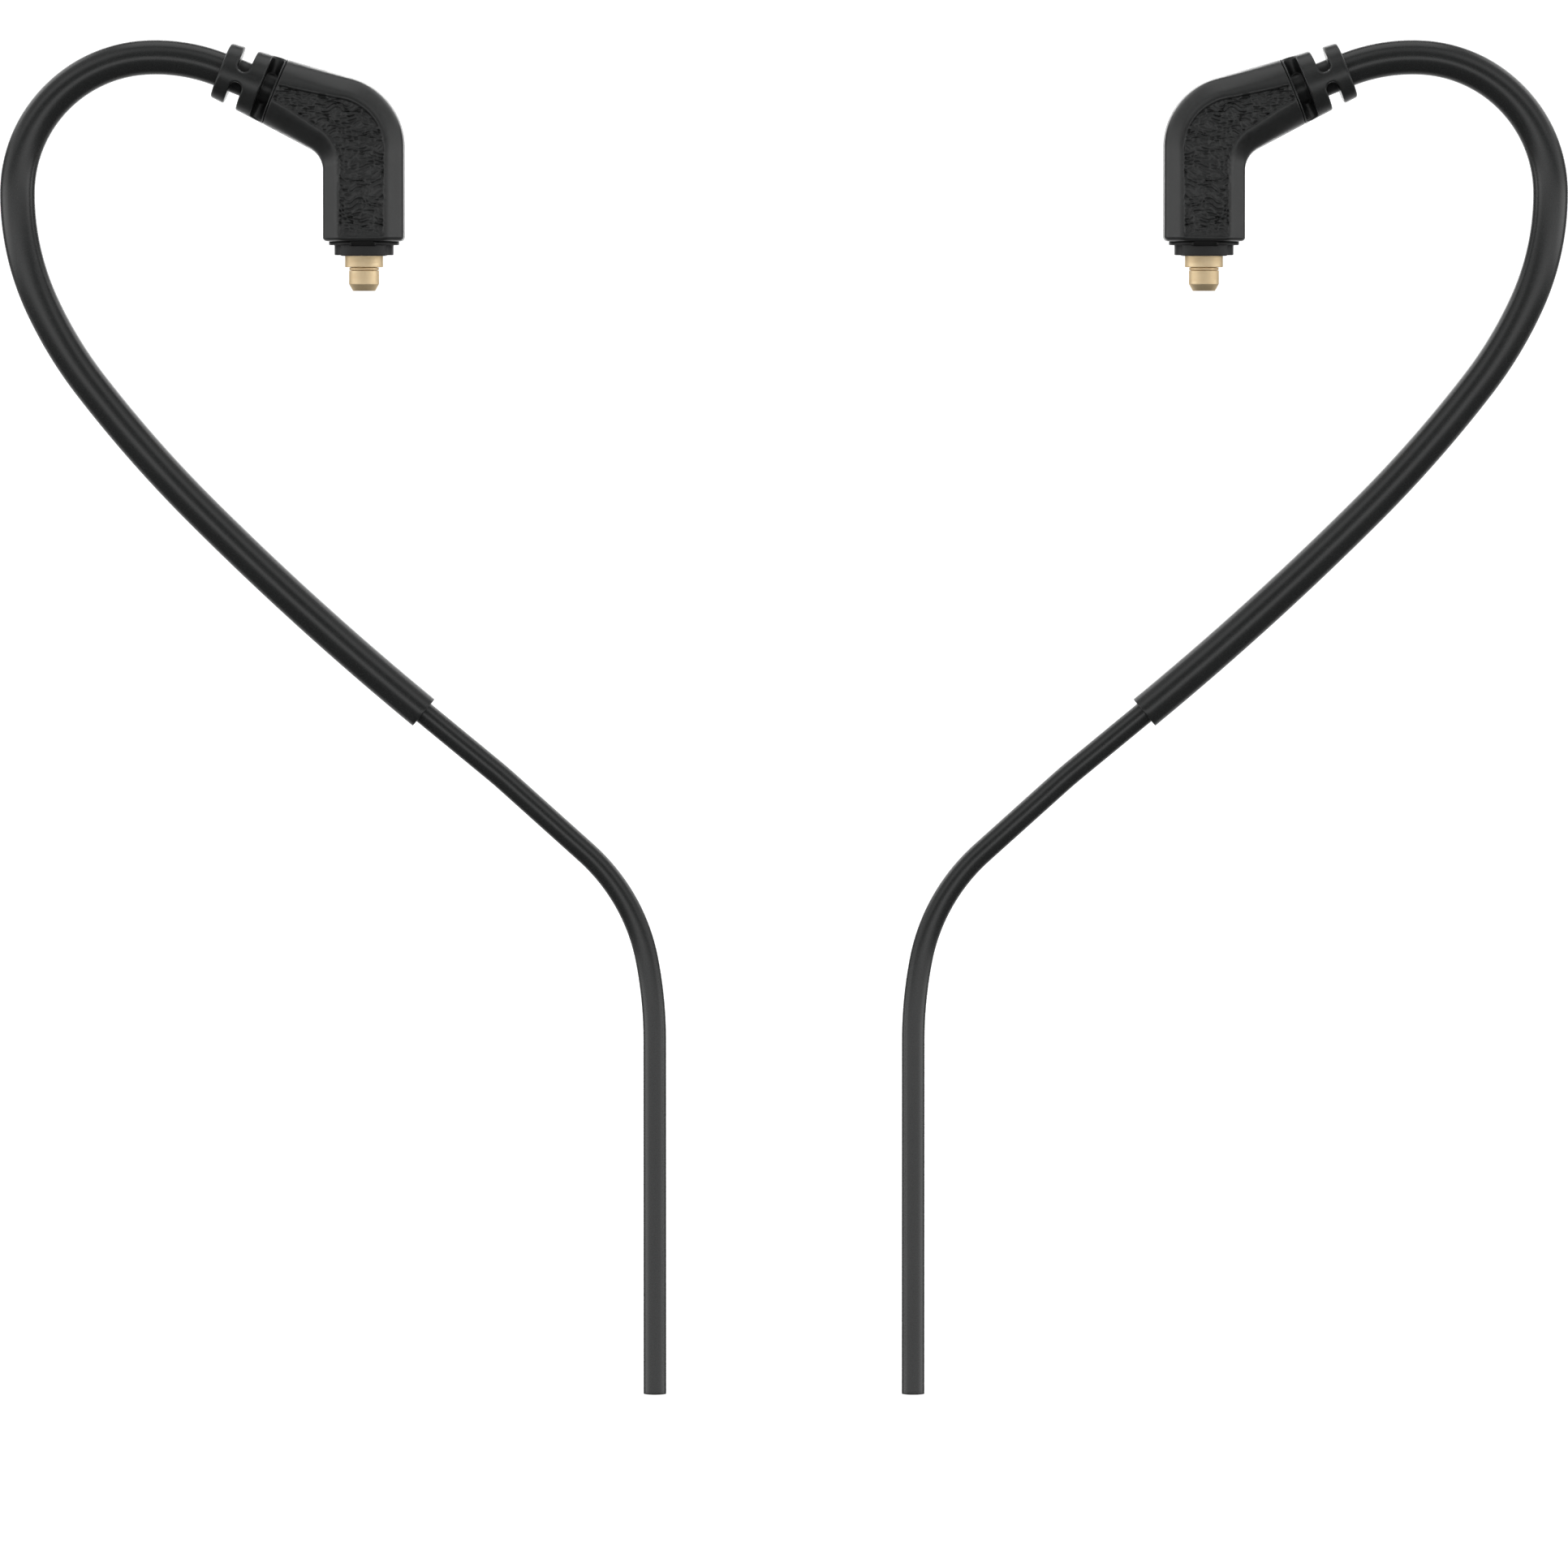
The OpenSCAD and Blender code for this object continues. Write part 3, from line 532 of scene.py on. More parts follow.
M_MOULD = pale_plastic("inner_mould", (0.55, 0.55, 0.5), (0.66, 0.66, 0.6), 0.1)
M_SOLDER = metal("solder", (0.62, 0.63, 0.65), (0.45, 0.46, 0.48), 0.3, 1)
M_COPPER = strand("litz_copper", (0.72, 0.3, 0.14), (0.4, 0.14, 0.06), 0.3, 1.0, 2600)
M_LACQUER = strand("litz_return", (0.2, 0.32, 0.16), (0.08, 0.14, 0.06), 0.3, 0.6, 2600)
M_YARN = strand("aramid", (0.75, 0.58, 0.2), (0.5, 0.36, 0.1), 0.6, 0.0, 3200)


# ---------------------------------------------------------------- cable, wires and hook tube
RIM_ROUND, RIM_STEP = 0.05, 0.03
MOUTH_ROUND, MOUTH_DEPTH, END_DEPTH = 0.07, 2, 6
SKIN_START = 0.3
HIDDEN_RUN = 6
HOOK_OVERLAP = 0.6
WIRE_R, WIRE_OFF, WIRE_LOBES, WIRE_LOBE_H, WIRE_LAY = 0.25, 0.31, 6, 0.02, 3.2
YARN_R, YARN_OFF = 0.15, 0.43
S_SLANT_MID = (PLACES[AT_SLANT][2] + PLACES[AT_SLANT + 1][2]) / 2
S_HIDDEN = PLACES[AT_MOUTH][2] + HIDDEN_RUN

# Stretches of cable: start, end, name of the pieces, and the CAD nodes they stand for
STRETCHES = [
    (0.0, S_SLANT_MID, "cable_tail", ["cable_tail_{}"]),
    (S_SLANT_MID, S_HIDDEN, "cable", ["cable_{}"]),
    (S_HIDDEN, RELIEF_S, "hook", ["hook_lower_{}", "hook_upper_{}"]),
]


def open_end(s, bore_r, outer_r, depth, round_r=RIM_ROUND):
    """Profile from a blind bore out to the rounded rim of a cut end at s."""
    arc = [(s + round_r * (1 - math.sin(a)), outer_r - round_r * (1 - math.cos(a)))
           for a in np.linspace(math.pi / 2, 0, 5)]
    rim = [(s + depth, bore_r * 0.5), (s + depth, bore_r),
           (s + RIM_STEP, bore_r), (s, bore_r + RIM_STEP)]
    return rim + arc


def mirrored(side, xyz):
    return (xyz[0] if side == "left" else -xyz[0], xyz[1], xyz[2])


def blend_at(obj):
    """Applies the piece's transform to its mesh."""
    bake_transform(obj)


def blend_hook(obj):
    """Applies the piece's transform to its mesh."""
    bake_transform(obj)


def finish_stretch(obj, side, stretch, nodes, material):
    """Each stretch of cable crosses one joint; its CAD nodes are hidden and the piece's transform
    is applied to its mesh.
    """
    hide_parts(*[side + "_" + n.format(material) for n in nodes])
    if stretch == "cable_tail":
        blend_at(obj)
    elif stretch == "cable":
        blend_at(obj)
    else:
        blend_hook(obj)


def lobed(s, phi):
    """Ridges of the twisted strands on a litz bundle."""
    return WIRE_LOBE_H * np.cos(WIRE_LOBES * (phi - s * 2 * math.pi / WIRE_LAY))


def cable_pieces(side):
    """Jacket, two twisted litz bundles and two aramid yarns in each stretch."""
    for s0, s1, name, nodes in STRETCHES:
        profile = [(s, JACKET_R) for s in steps(s0 + (SKIN_START if s0 == 0 else 0), s1, 0.35)]
        if s0 == 0:
            profile = open_end(0, JACKET_BORE_R, JACKET_R, END_DEPTH) + profile
        obj = make_piece(name + "_skin", side, *path_lathe(profile, 56), M_JACKET)
        finish_stretch(obj, side, name, nodes, "jacket")
        for place, shift, material in (("front", WIRE_OFF, M_COPPER),
                                       ("rear", -WIRE_OFF, M_LACQUER)):
            rod = path_lathe([(s, WIRE_R) for s in steps(s0, s1, 0.4)], 24,
                             offset=lambda s, shift=shift: (0.0, shift), wobble=lobed)
            obj = make_piece(name + "_litz_" + place, side, *rod, material)
            finish_stretch(obj, side, name, nodes, "wires")
        for place, shift in (("inner", YARN_OFF), ("outer", -YARN_OFF)):
            rod = path_lathe([(s, YARN_R) for s in steps(s0, s1, 0.5)], 16,
                             offset=lambda s, shift=shift: (shift, 0.0))
            obj = make_piece(name + "_yarn_" + place, side, *rod, M_YARN)
            finish_stretch(obj, side, name, nodes, "yarns")


def hook_piece(side):
    mouth = PLACES[AT_MOUTH][2]
    profile = open_end(mouth, HOOK_BORE_R, HOOK_R, MOUTH_DEPTH, MOUTH_ROUND)
    profile += [(s, HOOK_R) for s in steps(mouth + SKIN_START, RELIEF_S + HOOK_OVERLAP, 0.3)]
    obj = make_piece("hook_tube", side, *path_lathe(profile, 80), M_HOOK)
    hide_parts(side + "_hook_tube_lower", side + "_hook_tube_upper")
    blend_hook(obj)


# ---------------------------------------------------------------- strain relief
TIP_ROUND, BASE_ROUND, NOTCH_ROUND, SLOT_ROUND = 0.22, 0.06, 0.18, 0.13
CORE_START, CORE_BEYOND, CORE_ROUND, CORE_JOIN = 0.3, 0.5, 0.05, 0.1
NET_MARGIN, NET_BEYOND = 0.15, 0.75
RELIEF_SHARP = 40


def cut_distance(s, centre, width, web, across):
    """Inside a round-bottomed cut of this width, which leaves a web about the axis."""
    bottom = web + width / 2
    d = np.where(across > bottom, np.abs(s - centre), np.hypot(s - centre, across - bottom))
    return width / 2 - d


def relief_distance(s, y, z):
    """The boot's surface, in arm coordinates: a cone with notches at its sides, slots front and
    rear, and the tube's core through it."""
    rho = np.sqrt(y * y + z * z)
    cone = (rho - (RELIEF_TIP_R + RELIEF_SLOPE * s)) / math.hypot(1, RELIEF_SLOPE)
    body = smooth_max(cone, -TIP_LEAD - s, TIP_ROUND)
    body = smooth_max(body, s - RELIEF_LEN, BASE_ROUND)
    notch = cut_distance(s, NOTCH_S, NOTCH_W, NOTCH_WEB, np.abs(y))
    body = smooth_max(body, notch, NOTCH_ROUND)
    slot = cut_distance(s, SLOT_S, SLOT_W, SLOT_WEB, np.abs(z))
    body = smooth_max(body, slot, SLOT_ROUND)
    core = smooth_max(rho - HOOK_R, -(s - CORE_START), CORE_ROUND)
    core = smooth_max(core, s - RELIEF_LEN - CORE_BEYOND, CORE_ROUND)
    return smooth_min(body, core, CORE_JOIN)


def relief_pieces():
    """The boot as one smooth solid, cut in the middle of its second ring."""
    reach = RELIEF_TIP_R + RELIEF_SLOPE * RELIEF_LEN + NET_MARGIN
    voxel = 0.055
    verts, faces = surface_net(relief_distance, (-TIP_LEAD - NET_MARGIN, -reach, -reach),
                               (RELIEF_LEN + NET_BEYOND, reach, reach), voxel)
    cut_s = (TIP_RING + NOTCH_W + RING_END) / 2
    for side in SIDES:
        for part, keep in (("relief_front", -1), ("relief_back", 1)):
            obj = make_piece(part, side, arm_to_3d(verts), faces, M_RELIEF, RELIEF_SHARP)
            cut_mesh(obj, side, cut_s, keep)
            if keep < 0:
                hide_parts(side + "_relief_tip_ring", side + "_relief_middle_ring")
            else:
                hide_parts(side + "_relief_base")
            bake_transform(obj)


def cut_mesh(obj, side, s, keep):
    """Cuts the boot square across at s and keeps one end, before (-1) or after (1) the cut."""
    bm = bmesh.new()
    bm.from_mesh(obj.data)
    co = mirrored(side, spot(RELIEF_POINT + s * ARM_DIR))
    no = Vector(mirrored(side, spot(ARM_DIR))).normalized()
    result = bmesh.ops.bisect_plane(
        bm, geom=bm.verts[:] + bm.edges[:] + bm.faces[:], plane_co=co, plane_no=no,
        clear_outer=keep < 0, clear_inner=keep > 0)
    rim = [e for e in result["geom_cut"] if isinstance(e, bmesh.types.BMEdge)]
    bmesh.ops.contextual_create(bm, geom=rim)
    bm.to_mesh(obj.data)
    bm.free()
    obj.data.shade_smooth()
    obj.data.set_sharp_from_angle(angle=math.radians(RELIEF_SHARP))


# ---------------------------------------------------------------- housing
def line_point(start, h, x):
    """Point at x on the line from start with this heading."""
    return np.array([x, start[1] + (x - start[0]) * math.tan(h)])


ARM_START = -(ARM_LEN - RELIEF_LEN) * ARM_DIR
OUTER_START = ARM_START + ARM_END_R * ARM_UP
INNER_START = ARM_START - ARM_END_R * ARM_UP
OUTER_H = -ARM_TILT + ARM_FLARE
INNER_H = -ARM_TILT - ARM_FLARE
OUTER_CORNER = line_point(OUTER_START, OUTER_H, COLUMN_W)
INNER_CORNER = line_point(INNER_START, INNER_H, -COLUMN_W)
OUTER_T = ELBOW_OUTER_R * math.tan((math.pi / 2 + OUTER_H) / 2)
INNER_T = ELBOW_INNER_R * math.tan((math.pi / 2 + INNER_H) / 2)
OUTER_CENTRE = np.array([COLUMN_W - ELBOW_OUTER_R, OUTER_CORNER[1] - OUTER_T])
INNER_CENTRE = np.array([-COLUMN_W - ELBOW_INNER_R, INNER_CORNER[1] - INNER_T])


def mix(a, b, f):
    return a + (b - a) * f


def smooth(x):
    x = np.clip(x, 0, 1)
    return x * x * (3 - 2 * x)


def housing_station(t):
    """Outer point, inner point, half depth and squareness: t 0-1 arm, 1-2 elbow, 2-3 column."""
    if t <= 1:
        o, i = arc_points(0)
        depth = mix(ARM_END_R, COLUMN_W, ARM_DEPTH_SHARE * t)
        return mix(OUTER_START, o, t), mix(INNER_START, i, t), depth, ARM_SQUARE_SHARE * t
    if t <= 2:
        f = t - 1
        o, i = arc_points(f)
        depth = mix(ARM_END_R, COLUMN_W, mix(ARM_DEPTH_SHARE, 1.0, f))
        return o, i, depth, mix(ARM_SQUARE_SHARE, 1.0, f)
    f = t - 2
    o, i = arc_points(1)
    foot_o, foot_i = np.array([COLUMN_W, -PLUG_DROP]), np.array([-COLUMN_W, -PLUG_DROP])
    return mix(o, foot_o, f), mix(i, foot_i, f), COLUMN_W, 1.0


def arc_points(f):
    """Outer and inner point of the elbow, from its arm end (0) to its column end (1)."""
    a = (math.pi / 2 + OUTER_H) * (1 - f)
    b = (math.pi / 2 + INNER_H) * (1 - f)
    return OUTER_CENTRE + ELBOW_OUTER_R * heading(a), INNER_CENTRE + ELBOW_INNER_R * heading(b)


HASH_PRIMES = (73856093, 19349663, 83492791, 2654435761)
HASH_MIX, HASH_MASK = 1274126177, 0x7FFFFFFF


def lattice_noise(p, seed):
    """Smooth noise in -1..1 at points p (n, 3), the same on every run."""
    cell = np.floor(p).astype(np.int64)
    f = p - cell
    f = f * f * f * (f * (f * 6 - 15) + 10)
    out = np.zeros(len(p))
    for dx in (0, 1):
        for dy in (0, 1):
            for dz in (0, 1):
                c = cell + np.array([dx, dy, dz])
                h = seed * HASH_PRIMES[3]
                for k in range(3):
                    h = (c[:, k] * HASH_PRIMES[k]) ^ h
                h = (h ^ (h >> 13)) * HASH_MIX & HASH_MASK
                value = (h ^ (h >> 16)) % 65536 / 32768.0 - 1.0
                w = (f[:, 0] if dx else 1 - f[:, 0]) * (f[:, 1] if dy else 1 - f[:, 1]) \
                    * (f[:, 2] if dz else 1 - f[:, 2])
                out += value * w
    return out


BEND_SCALE, BEND_SHIFT = 1.1, 7.3
GRAIN_SCALE, GRAIN_BEND = (2.0, 5.0, 2.0), (0.8, 1.6, 0.0)
FINE_SCALE, FINE_SHIFT, FINE_SHARE = 1.7, 19.1, 0.3
GRAIN_GAIN, GRAIN_LEVEL = 1.3, 0.65
BEND_SEED, RIDGE_SEED, FINE_SEED = 3, 11, 23


def leather(p):
    """Wrinkled grain at points p (x, z, y): ridges that run mostly sideways, bent by a slower
    noise, between about -2 and 0.7."""
    bend = lattice_noise(p * BEND_SCALE + BEND_SHIFT, BEND_SEED)
    q = p * GRAIN_SCALE + np.outer(bend, GRAIN_BEND)
    ridge = 1 - 2 * np.abs(lattice_noise(q, RIDGE_SEED))
    fine = 1 - 2 * np.abs(lattice_noise(q * FINE_SCALE + FINE_SHIFT, FINE_SEED))
    return GRAIN_GAIN * ((1 - FINE_SHARE) * ridge + FINE_SHARE * fine) - GRAIN_LEVEL


PANEL_RECESS = 0.15
PANEL_EDGE = 0.19
GRAIN_DEPTH = 0.065
PARTING = 0.035
PARTING_REACH = 0.12
WALL = 0.85
FOOT_BEVEL = 0.34
LIP_BEVEL = 0.15
CORNER_POWER = 34
EDGE_CELLS = 4
SEAM_GAP = 0.004
GRAIN_SIDE = 4.0
SHELL_SHARP = 42
OUTER_MARGIN, INNER_MARGIN = (2.1, 1.5, 1.5), (2.05, 1.28, 1.3)   # first, last, speed
FOOT_FADE, LIP_FADE = (0.3, 0.5), (0.05, 0.3)   # start, length
ROW_SAMPLES, SECTION_SAMPLES = 1200, 721
BEVEL_ROWS, BEVEL_CROWD = 7, 1.6


def panel_margins(f):
    """Distance of the recessed panel from the outer and inner silhouette, along the housing."""
    return [mix(first, last, smooth(f * speed))
            for first, last, speed in (OUTER_MARGIN, INNER_MARGIN)]


def rounded_inset(distance, radius):
    """Inset of a section that lies this far from a rounded end."""
    if distance >= radius:
        return 0.0
    return radius - math.sqrt(max(radius ** 2 - (radius - distance) ** 2, 0))


def stations(count):
    """Section parameters 0-3 spread evenly along the housing, denser at both rounded ends."""
    ts = np.linspace(0, 3, ROW_SAMPLES)
    middles = np.array([housing_station(t)[:2] for t in ts]).mean(1)
    run = np.concatenate([[0], np.cumsum(np.linalg.norm(np.diff(middles, axis=0), axis=1))])
    total = run[-1]
    near = np.linspace(0, 1, BEVEL_ROWS) ** BEVEL_CROWD * FOOT_BEVEL
    middle = np.linspace(FOOT_BEVEL, total - FOOT_BEVEL, count)
    wanted = np.concatenate([near, middle[1:], total - near[::-1][1:]])
    return [(float(np.interp(s, run, ts)), s, total) for s in wanted]


def half_shell(front):
    """Front or rear half of the housing: the outside with its recessed, grained panel, and the
    inside a wall's thickness in."""
    side_cells, panel_cells, count = ((18, 70, 330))
    sign = 1 if front else -1
    fine = np.linspace(0, math.pi, SECTION_SAMPLES)
    c, s = np.abs(np.cos(fine)), np.abs(np.sin(fine))
    outer_rows, inner_rows = [], []
    for t, along, total in stations(count):
        o, i, depth, square = housing_station(t)
        w = np.linalg.norm(o - i) / 2
        out, mid = (o - i) / (2 * w), (o + i) / 2
        inset = max(rounded_inset(total - along, FOOT_BEVEL), rounded_inset(along, LIP_BEVEL))
        w2, d2 = w - inset, depth - inset
        p = CORNER_POWER
        reach = ((c / w2) ** p + (s / d2) ** p + ((c + s) / (w2 + d2 - CHAMFER)) ** p) ** (-1 / p)
        u_fine = mix(w2 * np.cos(fine), reach * np.cos(fine), square)
        v_fine = mix(d2 * np.sin(fine), reach * np.sin(fine), square)
        edge_o, edge_i = panel_margins(along / total)
        marks = [w - edge_o, w - edge_o - PANEL_EDGE, edge_i + PANEL_EDGE - w, edge_i - w]
        theta = [0.0] + [float(np.interp(-u, -u_fine, fine)) for u in marks] + [math.pi]
        cells = [side_cells, EDGE_CELLS, panel_cells, EDGE_CELLS, side_cells]
        knots = [np.linspace(p0, p1, n + 1)[1:] for p0, p1, n in zip(theta, theta[1:], cells)]
        knots = np.concatenate([[0.0]] + knots)
        u, v = np.interp(knots, fine, u_fine), np.interp(knots, fine, v_fine)
        inside = smooth((marks[0] - u) / PANEL_EDGE) * smooth((u - marks[3]) / PANEL_EDGE)
        fade = (smooth((total - along - FOOT_FADE[0]) / FOOT_FADE[1])
                * smooth((along - LIP_FADE[0]) / LIP_FADE[1]))
        flat = mid + np.outer(u, out)
        grain = leather(np.column_stack([flat, np.full(len(u), GRAIN_SIDE * sign)]))
        v = v - inside * fade * (PANEL_RECESS - GRAIN_DEPTH * grain)
        from_seam = np.minimum(knots, math.pi - knots) * w
        u = u * (1 - PARTING / w * (1 - smooth(from_seam / PARTING_REACH)))
        outer_rows.append(to_3d(mid + np.outer(u, out) + ELBOW, sign * np.maximum(v, SEAM_GAP)))
        flat = mid + np.outer((w - WALL) * np.cos(knots), out) + ELBOW
        v = np.maximum((depth - WALL) * np.sin(knots), SEAM_GAP)
        inner_rows.append(to_3d(flat, sign * v))
    rows, n = len(outer_rows), len(outer_rows[0])
    verts = np.vstack([np.vstack([o, i[::-1]]) for o, i in zip(outer_rows, inner_rows)])
    ring = 2 * n
    faces = ring_faces(rows, ring)
    for base, order in ((0, 1), ((rows - 1) * ring, -1)):
        for k in range(n - 1):
            quad = (base + k, base + k + 1, base + ring - 2 - k, base + ring - 1 - k)
            faces.append(quad[::order])
    if front:
        faces = [tuple(reversed(f)) for f in faces]
    return verts, faces


def housing_pieces():
    for front, part in ((True, "front_shell"), (False, "rear_shell")):
        verts, faces = half_shell(front)
        for side in SIDES:
            obj = make_piece(part + "_skin", side, verts, faces, M_SHELL, SHELL_SHARP)
            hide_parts(side + "_" + part)
            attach(obj, side + "_plug")


# ---------------------------------------------------------------- plug
PLATE_R, PLATE_T = 2.8, 0.3
COLLAR_R, COLLAR_T = 2.36, 0.8
KEY_W = 3.57
TAB_W, TAB_REACH, TAB_TAPER = 1.9, 3.05, 0.9
FLANGE_R, FLANGE_T = 1.52, 0.96
BARREL_R, BARREL_LEN = 1.2, 1.34
NOSE_R, NOSE_LEN = 0.89, 0.55
COLLAR_END = -PLATE_T - COLLAR_T
FLANGE_END = COLLAR_END - FLANGE_T
BARREL_END = FLANGE_END - BARREL_LEN
NOSE_END = BARREL_END - NOSE_LEN
GROOVE_W, GROOVE_R = 0.26, 1.02
RING_GAP = 0.02
RING_START, RING_TURN = math.radians(110), math.radians(320)
BORE_R = 0.84
INSERT_R, INSERT_TOP = 0.98, 1.6
PIN_R, PIN_TOP, PIN_INSET, PIN_FIRST = 0.2, 2.3, 0.15, 0.15
PTFE_GAP, PTFE_INSET, PTFE_BEVEL = 0.01, 0.2, 0.04
BARREL_BEVEL = 0.05
COLLAR_NET = (-3.0, -3.2, COLLAR_END - 0.3), (3.0, 3.2, 1.3)
SPIGOT_R, SPIGOT_BORE_R, SPIGOT_TOP = 2.0, 1.0, 1.1
KEY_BELOW = 0.06
OVERLAP = 0.1
CLEARANCE = 0.02
PLATE_ROUND, COLLAR_ROUND, TAB_ROUND, SMALL_ROUND = 0.07, 0.08, 0.1, 0.05
KEY_JOIN, TAB_JOIN = 0.03, 0.15


def slab(z, lo, hi):
    """Distance to the layer between two heights."""
    return np.abs(z - (lo + hi) / 2) - (hi - lo) / 2


def collar_distance(x, y, z):
    """The collar's surface about the plug axis: round plate with a tab front and rear, round
    collar with a key, hollow in the middle, and the spigot that holds it in the housing."""
    rho = np.hypot(x, y)
    plate_layer = slab(z, -PLATE_T, 0.0)
    plate = smooth_max(rho - PLATE_R, plate_layer, PLATE_ROUND)
    collar = smooth_max(rho - COLLAR_R, slab(z, COLLAR_END, OVERLAP), COLLAR_ROUND)
    key_layer = slab(z, COLLAR_END - KEY_BELOW, 0.0)
    key = smooth_max(np.abs(x) - KEY_W / 2, key_layer, PLATE_ROUND)
    key = smooth_max(key, rho - (PLATE_R - OVERLAP), PLATE_ROUND)
    body = smooth_min(np.minimum(plate, collar), key, KEY_JOIN)
    tab = smooth_max(np.abs(x) - TAB_W / 2, np.abs(y) - TAB_REACH - TAB_TAPER * z, TAB_ROUND)
    tab = smooth_max(tab, plate_layer, TAB_ROUND)
    body = smooth_min(body, tab, TAB_JOIN)
    body = smooth_max(body, -(rho - FLANGE_R - CLEARANCE), SMALL_ROUND)
    spigot = smooth_max(rho - SPIGOT_R, slab(z, -OVERLAP, SPIGOT_TOP), SMALL_ROUND)
    spigot = np.maximum(spigot, -(rho - SPIGOT_BORE_R))
    return np.minimum(body, spigot)


def plug_to_3d(points):
    return np.stack([(ELBOW[0] + points[:, 0]) * MM, points[:, 1] * MM,
                     (ELBOW[1] - PLUG_DROP + points[:, 2]) * MM], 1)


def plug_pieces():
    voxel = 0.06
    verts, faces = surface_net(collar_distance, COLLAR_NET[0], COLLAR_NET[1], voxel)
    groove = FLANGE_END - GROOVE_W
    barrel = bevel_profile([
        (BORE_R, INSERT_TOP), (BORE_R, NOSE_END), (NOSE_R, NOSE_END), (BARREL_R, BARREL_END),
        (BARREL_R, groove), (GROOVE_R, groove), (GROOVE_R, FLANGE_END), (FLANGE_R, FLANGE_END),
        (FLANGE_R, COLLAR_END + CLEARANCE), (INSERT_R, COLLAR_END + CLEARANCE),
        (INSERT_R, INSERT_TOP)], BARREL_BEVEL)
    ptfe_r, ptfe_end = BORE_R - PTFE_GAP, BARREL_END + PTFE_INSET
    ptfe = bevel_profile([(0.0, INSERT_TOP), (0.0, ptfe_end), (ptfe_r, ptfe_end),
                          (ptfe_r, INSERT_TOP)], PTFE_BEVEL)
    pin_end = NOSE_END + PIN_INSET
    pin = [(0.0, pin_end)]
    pin += [(PIN_R * math.sin(a), pin_end + PIN_R * (1 - math.cos(a)))
            for a in np.linspace(PIN_FIRST, math.pi / 2, 8)]
    pin += [(PIN_R, PIN_TOP)]
    pieces = [
        ("split_ring", split_ring(), M_GOLD, 40, "snap_ring", "gold_plate"),
        ("collar", (plug_to_3d(verts), faces), M_COLLAR, 45, "plug_collar", "plug_collar"),
        ("barrel", turned_ring(barrel), M_GOLD, 30, "contact_barrel", "gold_plate"),
        ("insulator", lathe(ptfe[::-1]), M_PTFE, 30, "dielectric", "dielectric"),
        ("pin", lathe(pin, 32), M_GOLD, 30, "centre_pin", "gold_plate"),
    ]
    for side in SIDES:
        for name, (v, f), material, sharp, node, slot in pieces:
            obj = make_piece(name, side, v, f, material, sharp)
            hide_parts(side + "_" + node)
            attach(obj, side + "_plug")


def split_ring(n=72, corners=16):
    """The snap ring: a rounded square wire bent round the groove, open on one side."""
    r0, r1 = GROOVE_R + RING_GAP / 2, BARREL_R - RING_GAP
    z0, z1 = FLANGE_END - GROOVE_W + RING_GAP, FLANGE_END - RING_GAP
    a = np.arange(corners) * 2 * math.pi / corners + math.pi / corners
    squircle = (np.abs(np.cos(a)) ** 4 + np.abs(np.sin(a)) ** 4) ** (-1 / 4)
    r = (r0 + r1) / 2 + (r1 - r0) / 2 * squircle * np.cos(a)
    z = (z0 + z1) / 2 + (z1 - z0) / 2 * squircle * np.sin(a)
    rows = [plug_to_3d(np.stack([r * math.cos(turn), r * math.sin(turn), z], 1))
            for turn in np.linspace(RING_START, RING_START + RING_TURN, n)]
    verts, caps = close_ends(np.vstack(rows), n, corners)
    faces = ring_faces(n, corners) + caps
    return verts, [tuple(reversed(f)) for f in faces]


# ---------------------------------------------------------------- hidden CAD nodes keep their shape
def dress_cad_nodes():
    looks = {"inner_mould": M_MOULD, "solder_joints": M_SOLDER, "plug_wires": M_COPPER}
    for side in SIDES:
        for name, material in looks.items():
            node = frame["nodes"][side + "_" + name]
            node.data.materials.clear()
            node.data.materials.append(material)


# ---------------------------------------------------------------- stage, light and camera
FLOOR_COLOUR, FLOOR_ROUGH, FLOOR_GLOW = (0.85, 0.85, 0.85), 0.9, 0.72
FLOOR_NEAR, FLOOR_FAR, FLOOR_HALF_WIDTH = -3.0, 0.9, 3.0
SWEEP_R, SWEEP_FIRST, SWEEP_STEPS, BACKDROP_TOP = 0.5, 0.15, 10, 3.0
LIGHT_PLACE, LIGHT_SIZE, LIGHT_POWER = (0.0, 0.1, 0.8), 0.5, 0.8
AMBIENT = 0.14
SIDE_LIFT = 0.6
ELEVATION = math.radians(2.5)
LENS, SENSOR = 260, 36
FRAME_WIDTH, AIM_HEIGHT = 0.12545, 0.04895
CLIP = (0.01, 20)


def floor_material():
    mat, _, _, bsdf = node_tree("floor_white")
    bsdf.inputs["Base Color"].default_value = (*FLOOR_COLOUR, 1)
    bsdf.inputs["Roughness"].default_value = FLOOR_ROUGH
    bsdf.inputs["Emission Color"].default_value = (1, 1, 1, 1)
    bsdf.inputs["Emission Strength"].default_value = FLOOR_GLOW
    return mat


def place(obj, location, look):
    """Links an object that looks along its own -Z in the given direction."""
    obj.location = location
    obj.rotation_mode = "QUATERNION"
    obj.rotation_quaternion = look.to_track_quat("-Z", "Y")
    bpy.context.scene.collection.objects.link(obj)


def build_top_light(target):
    data = bpy.data.lights.new("top_light", "AREA")
    data.energy = LIGHT_POWER
    data.shape = "RECTANGLE"
    data.size = data.size_y = LIGHT_SIZE
    data.specular_factor = 0.0
    place(bpy.data.objects.new("top_light", data), LIGHT_PLACE, target - Vector(LIGHT_PLACE))


def maths(nodes, links, operation, a, b=None):
    node = nodes.new("ShaderNodeMath")
    node.operation = operation
    for socket, value in zip(node.inputs, (a, b)):
        if isinstance(value, (int, float)):
            socket.default_value = value
        elif value is not None:
            links.new(value, socket)
    return node.outputs[0]


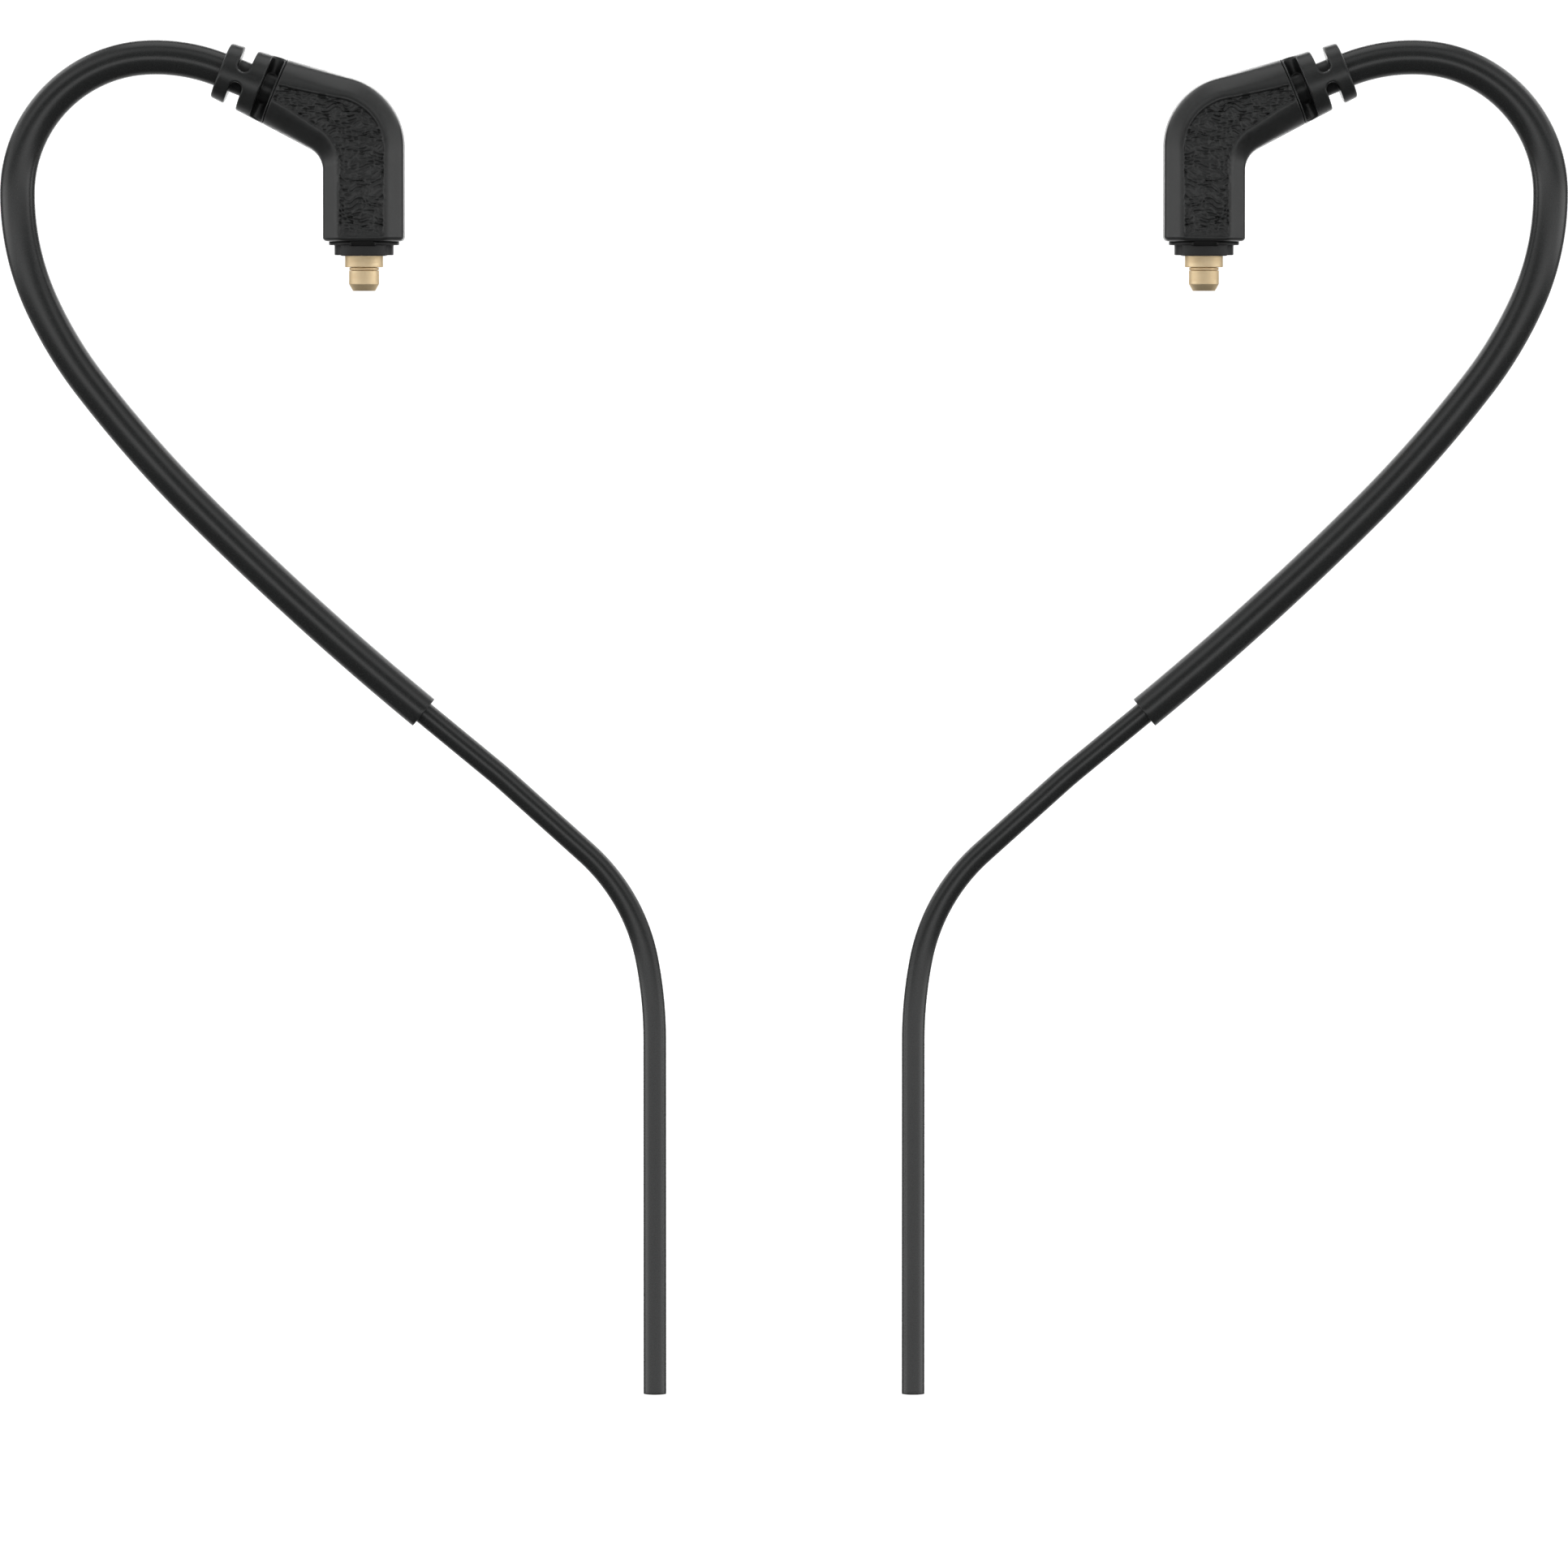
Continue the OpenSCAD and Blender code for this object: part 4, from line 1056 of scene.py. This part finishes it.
def build_world():
    """A soft studio in white. The camera sees plain white. The object sees dark walls, a thin
    strip a little below its own height, soft boxes above and behind, and the pale backdrop."""
    world = bpy.data.worlds.new("studio")
    bpy.context.scene.world = world
    world.use_nodes = True
    nodes, links = world.node_tree.nodes, world.node_tree.links
    axes = nodes.new("ShaderNodeSeparateXYZ")
    links.new(nodes.new("ShaderNodeTexCoord").outputs["Generated"], axes.inputs[0])
    side = maths(nodes, links, "ABSOLUTE", axes.outputs["X"])
    back, up = axes.outputs["Y"], axes.outputs["Z"]

    def ease(value, lo, hi):
        node = nodes.new("ShaderNodeMapRange")
        node.interpolation_type = "SMOOTHSTEP"
        node.inputs["From Min"].default_value = lo
        node.inputs["From Max"].default_value = hi
        links.new(value, node.inputs["Value"])
        return node.outputs["Result"]

    def panel(level, *masks):
        out = level
        for mask in masks:
            out = maths(nodes, links, "MULTIPLY", mask, out)
        return out

    down = maths(nodes, links, "MULTIPLY", up, -1)
    front = maths(nodes, links, "MULTIPLY", back, -1)
    lifted = maths(nodes, links, "MULTIPLY_ADD", side, SIDE_LIFT)
    links.new(up, lifted.node.inputs[2])
    # Each panel: how bright, and the directions that it fills
    panels = [
        panel(1.5, ease(up, -0.34, -0.14), ease(down, -0.12, 0.04), ease(front, -0.5, -0.2)),
        panel(0.6, ease(lifted, 0.6, 0.85), ease(front, 0.3, 0.55)),
        panel(0.35, ease(lifted, 0.6, 0.85), ease(front, -0.3, 0.0), ease(side, 0.1, 0.5)),
        panel(1.7, ease(side, 0.25, 0.55), ease(up, 0.2, 0.5), ease(back, 0.1, 0.35)),
        panel(0.72, ease(side, 0.85, 0.98), ease(up, -0.3, 0.0)),
        panel(0.5, ease(down, 0.1, 0.4), ease(back, 0.3, 0.6)),
        panel(2.0, ease(back, 0.84, 0.94)),
        panel(2.4, ease(back, 0.74, 0.84), ease(up, 0.1, 0.35)),
    ]
    total = AMBIENT
    for light in panels:
        total = maths(nodes, links, "ADD", light, total)
    rays = nodes.new("ShaderNodeLightPath")
    seen = nodes.new("ShaderNodeMix")
    links.new(rays.outputs["Is Camera Ray"], seen.inputs["Factor"])
    links.new(total, seen.inputs["A"])
    seen.inputs["B"].default_value = 1.0
    links.new(seen.outputs["Result"], nodes["Background"].inputs["Strength"])
    nodes["Background"].inputs["Color"].default_value = (1, 1, 1, 1)


def build_stage():
    """Pale floor that sweeps up into a backdrop, one soft light from above, and the world."""
    lo, hi = CAD_BOX
    rows = [(FLOOR_NEAR, 0.0), (FLOOR_FAR, 0.0)]
    rows += [(FLOOR_FAR + SWEEP_R * math.sin(a), SWEEP_R * (1 - math.cos(a)))
             for a in np.linspace(SWEEP_FIRST, math.pi / 2, SWEEP_STEPS)]
    rows += [(FLOOR_FAR + SWEEP_R, BACKDROP_TOP)]
    verts = [(x, y, z) for y, z in rows for x in (-FLOOR_HALF_WIDTH, FLOOR_HALF_WIDTH)]
    faces = [(2 * i, 2 * i + 1, 2 * i + 3, 2 * i + 2) for i in range(len(rows) - 1)]
    mesh = bpy.data.meshes.new("floor")
    mesh.from_pydata(verts, [], faces)
    mesh.shade_smooth()
    mesh.materials.append(floor_material())
    floor = bpy.data.objects.new("floor", mesh)
    bpy.context.scene.collection.objects.link(floor)
    floor.visible_diffuse = False
    floor.visible_glossy = False
    build_top_light((lo + hi) / 2)
    build_world()
    bpy.context.scene.view_settings.view_transform = "Standard"


def build_camera():
    """Long lens from the front, a little above the arms."""
    lo, hi = CAD_BOX
    data = bpy.data.cameras.new("camera")
    data.sensor_width = SENSOR
    data.lens = LENS
    data.clip_start, data.clip_end = CLIP
    distance = FRAME_WIDTH / 2 / math.tan(math.atan(SENSOR / 2 / LENS))
    aim = Vector(((lo.x + hi.x) / 2, 0.0, AIM_HEIGHT))
    back = Vector((0, -math.cos(ELEVATION), math.sin(ELEVATION)))
    obj = bpy.data.objects.new("camera", data)
    place(obj, aim + back * distance, -back)
    bpy.context.scene.camera = obj


for arm in SIDES:
    cable_pieces(arm)
    hook_piece(arm)
relief_pieces()
housing_pieces()
plug_pieces()
dress_cad_nodes()
build_stage()
build_camera()
